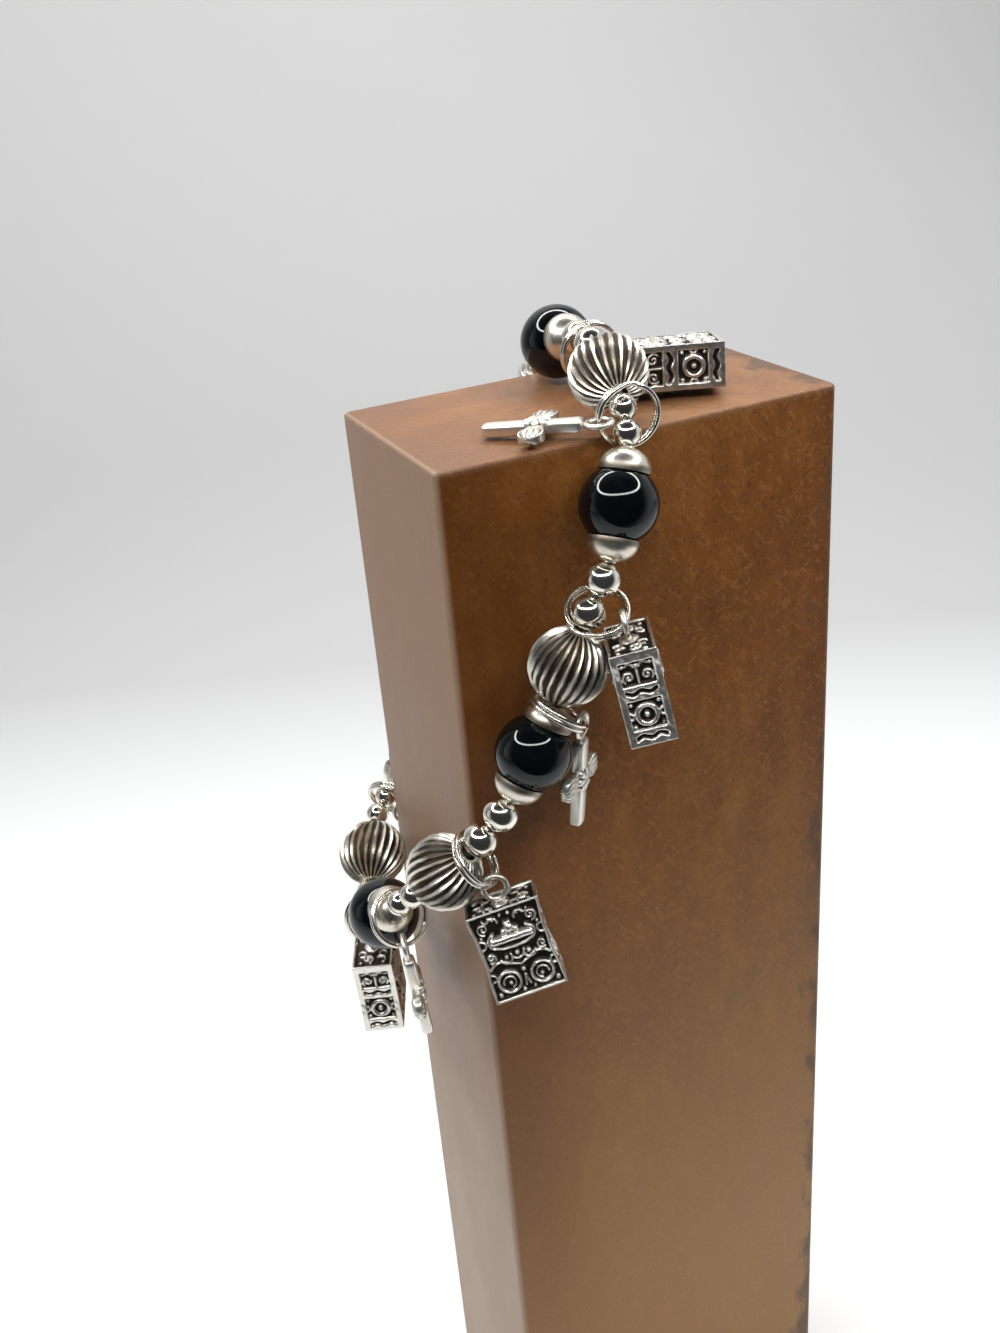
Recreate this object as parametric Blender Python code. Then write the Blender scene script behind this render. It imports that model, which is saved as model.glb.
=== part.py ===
"""A charm bracelet hooked over the corner of the plain wooden block that displays it.

Metres, +Z up. The origin is the middle of the block's foot, X runs along its width and the front faces -Y.
Six units are strung on an elastic cord, each of a black bead between two caps, two large spacers, a fluted
bead and two small spacers. Each unit also carries a box charm and a cross charm, both on split rings.
"""
import math
from collections import namedtuple

import bmesh
import bpy
import numpy as np
from mathutils import Matrix, Vector

# Display post
POST_WIDTH = 0.046
POST_DEPTH = 0.026
POST_HEIGHT = 0.160
POST_EDGE = 0.0018

# Clearances: between separate pieces, and between a drilled bead and what it is strung beside
GAP = 0.0003
STRUNG_GAP = 0.0002

# What is strung
CORD_DIAMETER = 0.0009
BEAD_BORE = 0.0018
BLACK_DIAMETER = 0.0080
FLUTED_DIAMETER = 0.0082
FLUTED_LENGTH = 0.0079
FLUTE_COUNT = 24
FLUTE_DEPTH = 0.00038
FLUTE_TWIST = 0.18
LARGE_SPACER = 0.0035
SMALL_SPACER = 0.0027
SPACER_NECK = 0.0001
CAP_DIAMETER = 0.0055
CAP_REACH = 0.0013
CAP_LIP = 0.0001
UNITS = 6
UNIT_WITHOUT_SMALL_SPACERS = 2

# Split rings: two turns of wire, side by side
RING_DIAMETER = 0.0066
RING_WIRE = 0.0005
TURN_GAP = 0.00004
RING_JOG = math.radians(26)

# Charms: the loop on top, the box and the cross
LOOP_DIAMETER = 0.0031
LOOP_WIRE = 0.0006
BOX_WIDTH = 0.0078
BOX_WAIST = 0.0072
BOX_HEIGHT = 0.0101
BOX_DEPTH = 0.0048
BOX_RELIEF = 0.0003
LIP_DROP = 0.0005
LIP_WIDTH = 0.0073
LIP_HEIGHT = 0.0006
BAR_DROP = 0.0035
BAR_LENGTH = 0.0043
BAR_HEIGHT = 0.0010
KNOB_WIDTH = 0.0013
KNOB_HEIGHT = 0.0015
SCROLL_DROP = 0.0081
SCROLL_SPREAD = 0.0035
SCROLL_DIAMETER = 0.0019
CROSS_LENGTH = 0.0106
CROSS_SPAN = 0.0082
CROSS_BAR = 0.0016
CROSS_THICKNESS = 0.0013
CROSS_ARM_DROP = 0.0047
ARM_HEIGHT = 0.00155
ARM_THICKNESS = 0.00117
KNOT_DIAMETER = 0.0026
KNOT_RISE = 0.00045
LEAF_DIAMETER = 0.0021
LEAF_THICKNESS = 0.0014
LEAF_SPREAD = 0.0066
CHARM_SINK = 0.00015

# How finely round things are faceted
CORD_SIDES = 10
BLACK_SIDES = 12
FACETS_PER_FLUTE = 2
RING_SEGMENTS = 20
WIRE_SIDES = 5
LOOP_SEGMENTS = 10
CURVE_STEPS = 24
BISECTIONS = 40
BLACK_STATIONS = 8
FLUTED_STATIONS = 7
SPACER_STATIONS = 5

# Hang lengths between which the loop is fitted to the length of what is strung on it
HANG_LEAST = 0.5 * POST_DEPTH
HANG_MOST = POST_HEIGHT

# Where the string runs. Across and deep are shares of the way from the middle of the post to a bead that
# rests against its side; drop is the way down from a bead on the top, as a share of the whole hang.
RoutePoint = namedtuple("RoutePoint", "place across deep drop")
ROUTE = [
    RoutePoint("behind the top", 0.055, 0.745, 0.026),
    RoutePoint("back of the top", 0.007, 0.144, -0.030),
    RoutePoint("front of the top", -0.030, -0.276, -0.030),
    RoutePoint("over the front edge", -0.095, -0.707, 0.015),
    RoutePoint("front edge", -0.139, -0.905, 0.075),
    RoutePoint("high on the front", -0.290, -1.080, 0.240),
    RoutePoint("middle of the front", -0.420, -1.060, 0.349),
    RoutePoint("below the middle", -0.515, -1.020, 0.472),
    RoutePoint("low on the front", -0.730, -1.035, 0.625),
    RoutePoint("near the corner", -0.890, -0.965, 0.712),
    RoutePoint("round the corner", -1.050, -0.765, 0.800),
    RoutePoint("off the left side", -1.139, -0.534, 0.866),
    RoutePoint("lowest, in front", -1.145, -0.046, 0.989),
    RoutePoint("lowest", -1.122, 0.155, 1.000),
    RoutePoint("lowest, behind", -1.070, 0.356, 0.993),
    RoutePoint("round the back corner", -0.955, 0.735, 0.932),
    RoutePoint("behind the corner", -0.795, 0.948, 0.888),
    RoutePoint("low on the back", -0.510, 1.035, 0.805),
    RoutePoint("middle of the back", -0.170, 1.040, 0.675),
    RoutePoint("high on the back", 0.030, 1.040, 0.485),
    RoutePoint("higher on the back", 0.105, 1.040, 0.320),
    RoutePoint("below the back edge", 0.110, 1.050, 0.165),
]

# How each charm hangs. Seat is the strung piece at whose upper end its ring lies. The ring's centre is off
# that point, and the charm's loop off the ring's centre, in ring radii; the rest are directions.
Charm = namedtuple("Charm", "kind unit seat centre axis loop drop face")
CHARMS = [
    Charm("box", 1, "large 2", (0.20, 0.05, -0.47), (-0.10, -0.99, -0.07), (0.73, -0.03, -0.68),
          (0.92, -0.39, 0.00), (0.04, 0.09, 1.00)),
    Charm("cross", 1, "small 2", (0.13, 0.08, 0.10), (-0.15, -0.99, -0.05), (-0.99, 0.12, -0.10),
          (-0.75, 0.66, -0.07), (-0.06, 0.03, 1.00)),
    Charm("box", 2, "fluted", (0.53, -0.21, 0.55), (-0.22, -0.45, 0.86), (0.59, -0.74, -0.32),
          (0.15, -0.11, -0.98), (0.90, -0.40, 0.18)),
    Charm("cross", 3, "black", (-0.01, -0.10, -0.30), (-0.61, 0.04, -0.79), (0.77, -0.09, -0.68),
          (-0.08, 0.05, -1.00), (0.63, -0.77, -0.09)),
    Charm("box", 3, "fluted", (0.15, -0.12, -0.30), (-0.64, 0.50, -0.58), (0.37, -0.56, -0.95),
          (0.15, -0.28, -0.95), (-0.34, -0.91, 0.22)),
    Charm("cross", 4, "black", (0.04, -0.32, -0.30), (-0.12, 0.79, -0.60), (-0.14, -0.65, -0.83),
          (0.10, -0.04, -0.99), (0.95, -0.30, 0.11)),
    Charm("box", 4, "large 2", (-0.10, -0.16, -0.31), (-0.03, 1.00, -0.05), (-0.12, -0.04, -0.97),
          (0.06, 0.04, -1.00), (-0.91, 0.41, -0.04)),
    Charm("cross", 4, "small 2", (0.65, 0.35, -0.08), (0.65, 0.62, 0.44), (0.43, 0.18, -0.88),
          (0.01, 0.01, -1.00), (-0.01, 1.00, 0.01)),
    Charm("box", 5, "fluted", (0.11, 0.12, -0.28), (0.67, 0.03, 0.74), (0.64, 0.50, -0.59),
          (0.00, 0.00, -1.00), (0.00, 1.00, 0.00)),
    Charm("cross", 5, "small 2", (0.13, 0.25, -0.48), (0.21, -0.04, 0.98), (-0.38, 0.88, 0.09),
          (0.09, 0.13, -0.99), (0.34, 0.93, 0.15)),
    Charm("box", 6, "fluted", (0.07, 0.20, -0.54), (0.15, -0.22, 0.96), (0.64, 0.69, 0.07),
          (0.01, 0.29, -0.96), (0.10, 0.95, 0.28)),
    Charm("cross", 6, "small 1", (0.38, 0.01, -0.01), (0.06, -0.28, 0.96), (1.14, 0.02, -0.04),
          (0.51, 0.06, -0.86), (0.00, 1.00, 0.07)),
]


def clear_scene():
    for old in list(bpy.data.objects):
        bpy.data.objects.remove(old, do_unlink=True)


def make_material(name, colour, roughness, metallic):
    material = bpy.data.materials.new(name)
    material.use_nodes = True
    shader = material.node_tree.nodes["Principled BSDF"]
    shader.inputs["Base Color"].default_value = (*colour, 1.0)
    shader.inputs["Roughness"].default_value = roughness
    shader.inputs["Metallic"].default_value = metallic
    return material


def add_object(name, mesh, material, matrix=None):
    """Link a mesh under its node's name."""
    placed = bpy.data.objects.new(name, mesh)
    if not mesh.materials:
        mesh.materials.append(material)
    bpy.context.collection.objects.link(placed)
    if matrix is not None:
        placed.matrix_world = matrix
    return placed


def mesh_from_bmesh(name, bm, sharp_degrees=35):
    """Turn a bmesh into a smooth shaded mesh with its faces pointing out."""
    bmesh.ops.recalc_face_normals(bm, faces=bm.faces)
    mesh = bpy.data.meshes.new(name)
    bm.to_mesh(mesh)
    bm.free()
    mesh.shade_smooth()
    mesh.set_sharp_from_angle(angle=math.radians(sharp_degrees))
    return mesh


def tube_mesh(name, rings, closed, sharp_degrees=35):
    """Skin a row of rings of points, each with the same number, and cap the ends of an open row."""
    bm = bmesh.new()
    rows = [[bm.verts.new(point) for point in ring] for ring in rings]
    sides = len(rows[0])
    pairs = list(zip(rows, rows[1:]))
    if closed:
        pairs.append((rows[-1], rows[0]))
    for row, next_row in pairs:
        for k in range(sides):
            after = (k + 1) % sides
            bm.faces.new((row[k], row[after], next_row[after], next_row[k]))
    if not closed:
        bm.faces.new(list(reversed(rows[0])))
        bm.faces.new(rows[-1])
    return mesh_from_bmesh(name, bm, sharp_degrees)


def unit_vector(vector):
    vector = np.asarray(vector, dtype=float)
    return vector / np.linalg.norm(vector)


def frame_matrix(origin, up, front):
    """A frame whose Z is up and whose Y is as near front as a right angle to Z lets it be."""
    z_axis = Vector(unit_vector(up))
    y_axis = Vector(front)
    y_axis = (y_axis - y_axis.dot(z_axis) * z_axis).normalized()
    x_axis = y_axis.cross(z_axis)
    matrix = Matrix((x_axis, y_axis, z_axis)).transposed().to_4x4()
    matrix.translation = Vector(origin)
    return matrix


# The string's path

def strung_pieces():
    """The pieces in the order they are strung: kind, unit and the length each takes along the cord."""
    black_length = BLACK_DIAMETER + 2 * (GAP + CAP_REACH)
    fluted_length = FLUTED_LENGTH + 2 * STRUNG_GAP
    pieces = []
    for unit in range(1, UNITS + 1):
        pieces.append(("black", unit, black_length))
        pieces.append(("large 1", unit, LARGE_SPACER + SPACER_NECK))
        pieces.append(("large 2", unit, LARGE_SPACER + SPACER_NECK))
        pieces.append(("fluted", unit, fluted_length))
        if unit != UNIT_WITHOUT_SMALL_SPACERS:
            pieces.append(("small 1", unit, SMALL_SPACER + SPACER_NECK))
            pieces.append(("small 2", unit, SMALL_SPACER + SPACER_NECK))
    return pieces


def route_points(hang):
    """The route's points in metres for a loop that hangs this far below a bead on the top."""
    rest = FLUTED_DIAMETER / 2 + GAP
    across = POST_WIDTH / 2 + rest
    deep = POST_DEPTH / 2 + rest
    top = POST_HEIGHT + rest
    return np.array([(p.across * across, p.deep * deep, top - p.drop * hang) for p in ROUTE])


def smooth_loop(points):
    """A closed centripetal Catmull-Rom curve through the points, as many short steps."""
    before, after, beyond = (np.roll(points, shift, axis=0) for shift in (1, -1, -2))
    t1 = np.sqrt(np.linalg.norm(points - before, axis=1))[:, None]
    t2 = np.sqrt(np.linalg.norm(after - points, axis=1))[:, None]
    t3 = np.sqrt(np.linalg.norm(beyond - after, axis=1))[:, None]
    leave = t2 * ((points - before) / t1 - (after - before) / (t1 + t2) + (after - points) / t2)
    arrive = t2 * ((after - points) / t2 - (beyond - points) / (t2 + t3) + (beyond - after) / t3)
    u = np.linspace(0, 1, CURVE_STEPS, endpoint=False)[None, :, None]
    curve = ((2 * u**3 - 3 * u**2 + 1) * points[:, None] + (u**3 - 2 * u**2 + u) * leave[:, None]
             + (3 * u**2 - 2 * u**3) * after[:, None] + (u**3 - u**2) * arrive[:, None])
    return curve.reshape(-1, 3)


def chord_joints(curve, lengths):
    """Step the pieces along the closed curve as straight chords. Return their joints and the overrun."""
    loop = np.vstack([curve, curve, curve[:1]])
    along = np.concatenate([[0.0], np.cumsum(np.linalg.norm(np.diff(loop, axis=0), axis=1))])
    joints = [loop[0]]
    reached = 0
    for length in lengths:
        while np.linalg.norm(loop[reached + 1] - joints[-1]) < length:
            reached += 1
        low, high = 0.0, 1.0
        for _ in range(BISECTIONS):
            middle = (low + high) / 2
            point = loop[reached] + (loop[reached + 1] - loop[reached]) * middle
            if np.linalg.norm(point - joints[-1]) < length:
                low = middle
            else:
                high = middle
        joints.append(loop[reached] + (loop[reached + 1] - loop[reached]) * high)
    end = along[reached] + high * (along[reached + 1] - along[reached])
    return np.array(joints), end - along[len(curve)]


def lay_string(pieces):
    """Find the hang at which the closed route is just as long as its pieces, and return their joints."""
    lengths = [length for _, _, length in pieces]
    low, high = HANG_LEAST, HANG_MOST
    for _ in range(BISECTIONS):
        hang = (low + high) / 2
        joints, overrun = chord_joints(smooth_loop(route_points(hang)), lengths)
        if overrun > 0:
            low = hang
        else:
            high = hang
    joints[-1] = joints[0]
    return joints


# Beads

def drilled_profile(radius, length, count):
    """Half outline of a drilled ball from one mouth of the bore to the other, as (along, radius)."""
    bore = BEAD_BORE / 2
    start = math.asin(bore / radius)
    stretch = length / (2 * radius * math.cos(start))
    angles = np.linspace(start, math.pi - start, count)
    return [(-radius * math.cos(a) * stretch, radius * math.sin(a)) for a in angles]


def black_bead_mesh():
    """A drilled round bead about its own Z axis."""
    radius = BLACK_DIAMETER / 2
    turns = np.linspace(0, 2 * math.pi, BLACK_SIDES, endpoint=False)
    length = 2 * math.sqrt(radius**2 - (BEAD_BORE / 2)**2)
    rings = [[(r * math.cos(t), r * math.sin(t), z) for t in turns]
             for z, r in drilled_profile(radius, length, BLACK_STATIONS)]
    return tube_mesh("black_bead", rings, closed=True, sharp_degrees=50)


def fluted_bead_mesh():
    """A drilled round bead whose flutes run from mouth to mouth with a slight twist."""
    radius = FLUTED_DIAMETER / 2
    turns = np.linspace(0, 2 * math.pi, FLUTE_COUNT * FACETS_PER_FLUTE, endpoint=False)
    profile = drilled_profile(radius, FLUTED_LENGTH, FLUTED_STATIONS)
    rings = []
    for index, (z, r) in enumerate(profile):
        at_mouth = index in (0, len(profile) - 1)
        depth = 0.0 if at_mouth else FLUTE_DEPTH * r / radius
        twist = FLUTE_TWIST * z / radius
        ring = []
        for turn in turns:
            dip = depth * (1 - math.cos(turn * FLUTE_COUNT)) / 2
            ring.append(((r - dip) * math.cos(turn + twist), (r - dip) * math.sin(turn + twist), z))
        rings.append(ring)
    return tube_mesh("fluted_bead", rings, closed=True, sharp_degrees=20)


def spacer_profile(diameter, length):
    """Stations of a round spacer on the cord: distance from its upper joint and radius."""
    radius = diameter / 2
    start = math.asin(CORD_DIAMETER / 2 / radius)
    angles = np.linspace(start, math.pi - start, SPACER_STATIONS)
    return [(length / 2 - radius * math.cos(a), radius * math.sin(a)) for a in angles]


def cap_profile():
    """Stations of a domed cap from its tip to the cord inside the bead: distance from the bead's
    centre and radius. The underside follows the bead at the clearance."""
    seat = BLACK_DIAMETER / 2 + GAP
    tip = seat + CAP_REACH
    rim = CAP_DIAMETER / 2
    lip = math.sqrt(seat**2 - (rim - CAP_LIP)**2)
    stations = [(lip + CAP_LIP + (tip - lip - CAP_LIP) * math.sin(math.radians(a)),
                 rim * math.cos(math.radians(a))) for a in (77, 40, 0)]
    cord = CORD_DIAMETER / 2
    for radius in (rim - 2 * CAP_LIP, (rim + cord) / 2, cord):
        stations.append((math.sqrt(seat**2 - radius**2), radius))
    return stations


def string_mesh(pieces, joints):
    """The cord with its spacers and caps, one closed skin whose radius swells at each of them."""
    rings = []
    turns = np.linspace(0, 2 * math.pi, CORD_SIDES, endpoint=False)
    side = np.array((0.0, 0.0, 1.0))
    for (kind, _, length), start, end in zip(pieces, joints, joints[1:]):
        axis = unit_vector(end - start)
        side = unit_vector(side - side.dot(axis) * axis)
        across = np.cross(axis, side)
        if kind == "black":
            cap = cap_profile()
            stations = [(length / 2 - z, r) for z, r in cap]
            stations += [(length / 2 + z, r) for z, r in reversed(cap)]
        elif kind.startswith("large"):
            stations = spacer_profile(LARGE_SPACER, length)
        elif kind.startswith("small"):
            stations = spacer_profile(SMALL_SPACER, length)
        else:
            stations = []
        for along, radius in stations:
            centre = start + axis * along
            rings.append([centre + radius * (math.cos(t) * side + math.sin(t) * across) for t in turns])
    # The last ring's first corner is turned to face the first ring's, so that the closing skin is straight
    first = np.array(rings[0])
    last = np.array(rings[-1])
    shift = min(range(CORD_SIDES), key=lambda k: np.linalg.norm(np.roll(last, k, axis=0) - first))
    if shift:
        ease = np.linspace(0, shift * 2 * math.pi / CORD_SIDES, len(rings))
        rings = [turn_ring(ring, -angle) for ring, angle in zip(rings, ease)]
    return tube_mesh("string_of_spacers", rings, closed=True, sharp_degrees=40)


def turn_ring(ring, angle):
    """Turn a ring of points about its own middle and normal."""
    points = np.array(ring)
    middle = points.mean(axis=0)
    spokes = points - middle
    normal = unit_vector(np.cross(spokes[0], spokes[1]))
    turned = spokes * math.cos(angle) + np.cross(normal, spokes) * math.sin(angle)
    return list(middle + turned)


# Rings and charms

def split_ring_mesh():
    """Two flat turns of wire side by side about Z. The wire crosses from one to the other at +X, in the
    gap between its two ends."""
    mean = (RING_DIAMETER - RING_WIRE) / 2
    pitch = RING_WIRE + TURN_GAP
    sweep = 4 * math.pi - 2 * RING_JOG
    rings = []
    for step in range(RING_SEGMENTS + 1):
        angle = RING_JOG + sweep * step / RING_SEGMENTS
        change = min(1.0, max(0.0, (angle - 2 * math.pi + RING_JOG) / (2 * RING_JOG)))
        height = pitch * (change * change * (3 - 2 * change) - 0.5)
        outward = Vector((math.cos(angle), math.sin(angle), 0))
        middle = outward * mean + Vector((0, 0, height))
        corner = [2 * math.pi * k / WIRE_SIDES for k in range(WIRE_SIDES)]
        rings.append([middle + RING_WIRE / 2 * (math.cos(c) * outward + math.sin(c) * Vector((0, 0, 1)))
                      for c in corner])
    return tube_mesh("split_ring", rings, closed=False, sharp_degrees=50)


def block_mesh(name, centre, size):
    bm = bmesh.new()
    bmesh.ops.create_cube(bm, size=1.0)
    bmesh.ops.scale(bm, vec=size, verts=bm.verts)
    bmesh.ops.translate(bm, vec=centre, verts=bm.verts)
    return mesh_from_bmesh(name, bm)


def hoop_mesh(name, centre, mean_radius, wire_radius, segments, sides):
    """A ring of round wire that stands in the XZ plane."""
    rings = []
    for turn in np.linspace(0, 2 * math.pi, segments, endpoint=False):
        outward = Vector((math.cos(turn), 0, math.sin(turn)))
        middle = Vector(centre) + outward * mean_radius
        rings.append([middle + wire_radius * (math.cos(c) * outward + math.sin(c) * Vector((0, 1, 0)))
                      for c in np.linspace(0, 2 * math.pi, sides, endpoint=False)])
    return tube_mesh(name, rings, closed=True)


def boss_mesh(name, centre, size, sides, rows):
    """A low rounded lump."""
    bm = bmesh.new()
    bmesh.ops.create_uvsphere(bm, u_segments=sides, v_segments=rows, radius=0.5)
    bmesh.ops.scale(bm, vec=size, verts=bm.verts)
    bmesh.ops.translate(bm, vec=centre, verts=bm.verts)
    return mesh_from_bmesh(name, bm)


def fused_mesh(name, base, additions):
    """Join solids that run into each other with Boolean unions, one at a time."""
    body = bpy.data.objects.new(name, base)
    bpy.context.collection.objects.link(body)
    for addition in additions:
        tool = bpy.data.objects.new("tool", addition)
        bpy.context.collection.objects.link(tool)
        union = body.modifiers.new("union", "BOOLEAN")
        union.operation = "UNION"
        union.solver = "EXACT"
        union.object = tool
        bpy.context.view_layer.update()
        graph = bpy.context.evaluated_depsgraph_get()
        joined = bpy.data.meshes.new_from_object(body.evaluated_get(graph))
        body.modifiers.clear()
        body.data = joined
        bpy.data.objects.remove(tool, do_unlink=True)
    mesh = body.data
    bpy.data.objects.remove(body, do_unlink=True)
    mesh.name = name
    mesh.shade_smooth()
    mesh.set_sharp_from_angle(angle=math.radians(35))
    return mesh


def box_body_mesh():
    """The box below its loop: flat front and back, sides that draw in to a waist and flare below."""
    top = -(LOOP_DIAMETER / 2 - CHARM_SINK)
    depth = BOX_DEPTH / 2 - BOX_RELIEF
    outline = [(0.00, BOX_WIDTH / 2), (0.30, (BOX_WIDTH + BOX_WAIST) / 4), (0.60, BOX_WAIST / 2),
               (0.82, (BOX_WIDTH + BOX_WAIST) / 4), (1.00, BOX_WIDTH / 2)]
    rings = []
    for share, half in outline:
        z = top - share * BOX_HEIGHT
        rings.append([(-half, -depth, z), (half, -depth, z), (half, depth, z), (-half, depth, z)])
    return tube_mesh("box_body", rings, closed=False)


def box_charm_mesh():
    """The box with its lid's lip, its bar and knob, four scrolls front and back, and its loop."""
    top = -(LOOP_DIAMETER / 2 - CHARM_SINK)
    face = BOX_DEPTH / 2 - BOX_RELIEF
    through = 2 * BOX_RELIEF
    bar_z = top - BAR_DROP
    parts = [
        block_mesh("lip", (0, face, top - LIP_DROP), (LIP_WIDTH, through, LIP_HEIGHT)),
        block_mesh("bar", (0, face, bar_z), (BAR_LENGTH, through, BAR_HEIGHT)),
        block_mesh("knob", (0, face, bar_z + BAR_HEIGHT), (KNOB_WIDTH, through, KNOB_HEIGHT)),
    ]
    for side in (-1, 1):
        for front in (-1, 1):
            centre = (side * SCROLL_SPREAD / 2, front * face, top - SCROLL_DROP)
            parts.append(hoop_mesh("scroll", centre, SCROLL_DIAMETER / 2, BOX_RELIEF, 8, 4))
    mean = (LOOP_DIAMETER - LOOP_WIRE) / 2
    parts.append(hoop_mesh("loop", (0, 0, 0), mean, LOOP_WIRE / 2, LOOP_SEGMENTS, 5))
    return fused_mesh("box_charm", box_body_mesh(), parts)


def cross_charm_mesh():
    """A flat cross with a leafy knot where its arms meet, leaves on the arms, and its loop."""
    top = -(LOOP_DIAMETER / 2 - CHARM_SINK)
    arm_z = top - CROSS_ARM_DROP
    middle = (0, 0, top - CROSS_LENGTH / 2)
    upright = block_mesh("upright", middle, (CROSS_BAR, CROSS_THICKNESS, CROSS_LENGTH))
    parts = [
        block_mesh("arms", (0, 0, arm_z), (CROSS_SPAN, ARM_THICKNESS, ARM_HEIGHT)),
        boss_mesh("knot", (0, KNOT_RISE, arm_z), (KNOT_DIAMETER, CROSS_THICKNESS, KNOT_DIAMETER), 8, 5),
    ]
    for side in (-1, 1):
        leaf = (side * LEAF_SPREAD / 2, 0, arm_z)
        parts.append(boss_mesh("leaf", leaf, (LEAF_DIAMETER, LEAF_THICKNESS, LEAF_DIAMETER), 6, 4))
    mean = (LOOP_DIAMETER - LOOP_WIRE) / 2
    parts.append(hoop_mesh("loop", (0, 0, 0), mean, LOOP_WIRE / 2, LOOP_SEGMENTS, 5))
    return fused_mesh("cross_charm", upright, parts)


def post_mesh():
    """The block, with its four upright edges eased."""
    bm = bmesh.new()
    bmesh.ops.create_cube(bm, size=1.0)
    bmesh.ops.scale(bm, vec=(POST_WIDTH, POST_DEPTH, POST_HEIGHT), verts=bm.verts)
    bmesh.ops.translate(bm, vec=(0, 0, POST_HEIGHT / 2), verts=bm.verts)
    upright = [e for e in bm.edges if abs(e.verts[0].co.z - e.verts[1].co.z) > POST_HEIGHT / 2]
    bmesh.ops.bevel(bm, geom=upright, offset=POST_EDGE, segments=3, profile=0.5, affect="EDGES")
    return mesh_from_bmesh("display_post", bm)


def build():
    clear_scene()
    wood = make_material("stained wood", (0.16, 0.07, 0.04), 0.45, 0.0)
    glass = make_material("black glass", (0.004, 0.005, 0.008), 0.05, 0.0)
    silver = make_material("oxidised silver", (0.55, 0.52, 0.48), 0.28, 1.0)
    bright = make_material("bright silver", (0.80, 0.78, 0.74), 0.15, 1.0)

    add_object("display_post", post_mesh(), wood)

    pieces = strung_pieces()
    joints = lay_string(pieces)
    add_object("string_of_spacers", string_mesh(pieces, joints), bright)

    black = black_bead_mesh()
    fluted = fluted_bead_mesh()
    seats = {}
    for (kind, unit, _), start, end in zip(pieces, joints, joints[1:]):
        seats[(unit, kind)] = start
        place = frame_matrix((start + end) / 2, end - start, (0.3, 0.2, 1.0))
        if kind == "black":
            add_object(f"black_bead_{unit}", black, glass, place)
        elif kind == "fluted":
            add_object(f"fluted_bead_{unit}", fluted, silver, place)

    split_ring = split_ring_mesh()
    meshes = {"box": ("prayer_box", box_charm_mesh()), "cross": ("cross", cross_charm_mesh())}
    mean = (RING_DIAMETER - RING_WIRE) / 2
    counts = {"box": 0, "cross": 0}
    for number, charm in enumerate(CHARMS, start=1):
        centre = seats[(charm.unit, charm.seat)] + mean * np.array(charm.centre)
        ring_place = frame_matrix(centre, charm.axis, charm.loop)
        add_object(f"split_ring_{number}", split_ring, bright, ring_place)
        counts[charm.kind] += 1
        name, mesh = meshes[charm.kind]
        loop = centre + mean * np.array(charm.loop)
        charm_place = frame_matrix(loop, -np.array(charm.drop), charm.face)
        add_object(f"{name}_{counts[charm.kind]}", mesh, silver, charm_place)


build()
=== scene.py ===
"""Dresses the charm bracelet on its display post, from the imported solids.

Metres, +Z up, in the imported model's own frame. Every piece is worked out as whole numpy grids of points from
the same named sizes as the part's source, takes the place of its plain solid and rides on the one body.
"""
import math
from collections import namedtuple

import bmesh
import bpy
import numpy as np
from bpy.props import FloatProperty, FloatVectorProperty, IntProperty, PointerProperty
from mathutils import Matrix


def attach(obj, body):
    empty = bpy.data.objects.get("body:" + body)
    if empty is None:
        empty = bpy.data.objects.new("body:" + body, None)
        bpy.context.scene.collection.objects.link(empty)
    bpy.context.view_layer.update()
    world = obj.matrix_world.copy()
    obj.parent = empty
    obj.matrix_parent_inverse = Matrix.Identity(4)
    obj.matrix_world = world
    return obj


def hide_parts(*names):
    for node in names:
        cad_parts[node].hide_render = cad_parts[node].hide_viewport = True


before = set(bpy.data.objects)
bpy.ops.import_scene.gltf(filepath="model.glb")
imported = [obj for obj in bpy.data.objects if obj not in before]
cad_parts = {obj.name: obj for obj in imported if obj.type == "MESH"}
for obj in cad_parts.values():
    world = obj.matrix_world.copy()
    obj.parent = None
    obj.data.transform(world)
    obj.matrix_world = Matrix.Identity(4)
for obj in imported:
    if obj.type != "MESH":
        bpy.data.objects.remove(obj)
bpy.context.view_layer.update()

bl_info = {
    "name": "Charm bracelet on a display post",
    "version": (1, 0, 0),
    "blender": (4, 5, 0),
    "location": "3D View > Sidebar > Bracelet",
    "description": "Finely detailed beads, rings and charms over the packed model of a charm bracelet",
    "category": "Object",
}

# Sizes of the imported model, as its source names them
POST_WIDTH = 0.046
POST_DEPTH = 0.026
POST_HEIGHT = 0.160
GAP = 0.0003
STRUNG_GAP = 0.0002
BLACK_DIAMETER = 0.0080
FLUTED_DIAMETER = 0.0082
FLUTED_LENGTH = 0.0079
LARGE_SPACER = 0.0035
SMALL_SPACER = 0.0027
SPACER_NECK = 0.0001
CAP_REACH = 0.0013
UNITS = 6
UNIT_WITHOUT_SMALL_SPACERS = 2
RING_DIAMETER = 0.0066
RING_WIRE = 0.0005
RING_MEAN = (RING_DIAMETER - RING_WIRE) / 2
LOOP_DIAMETER = 0.0031
LOOP_WIRE = 0.0006
CHARM_TOP = -0.0014
LOOP_MARK = 0.15
CURVE_STEPS = 24
BISECTIONS = 40
HANG_LEAST = 0.5 * POST_DEPTH
HANG_MOST = POST_HEIGHT

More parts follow.
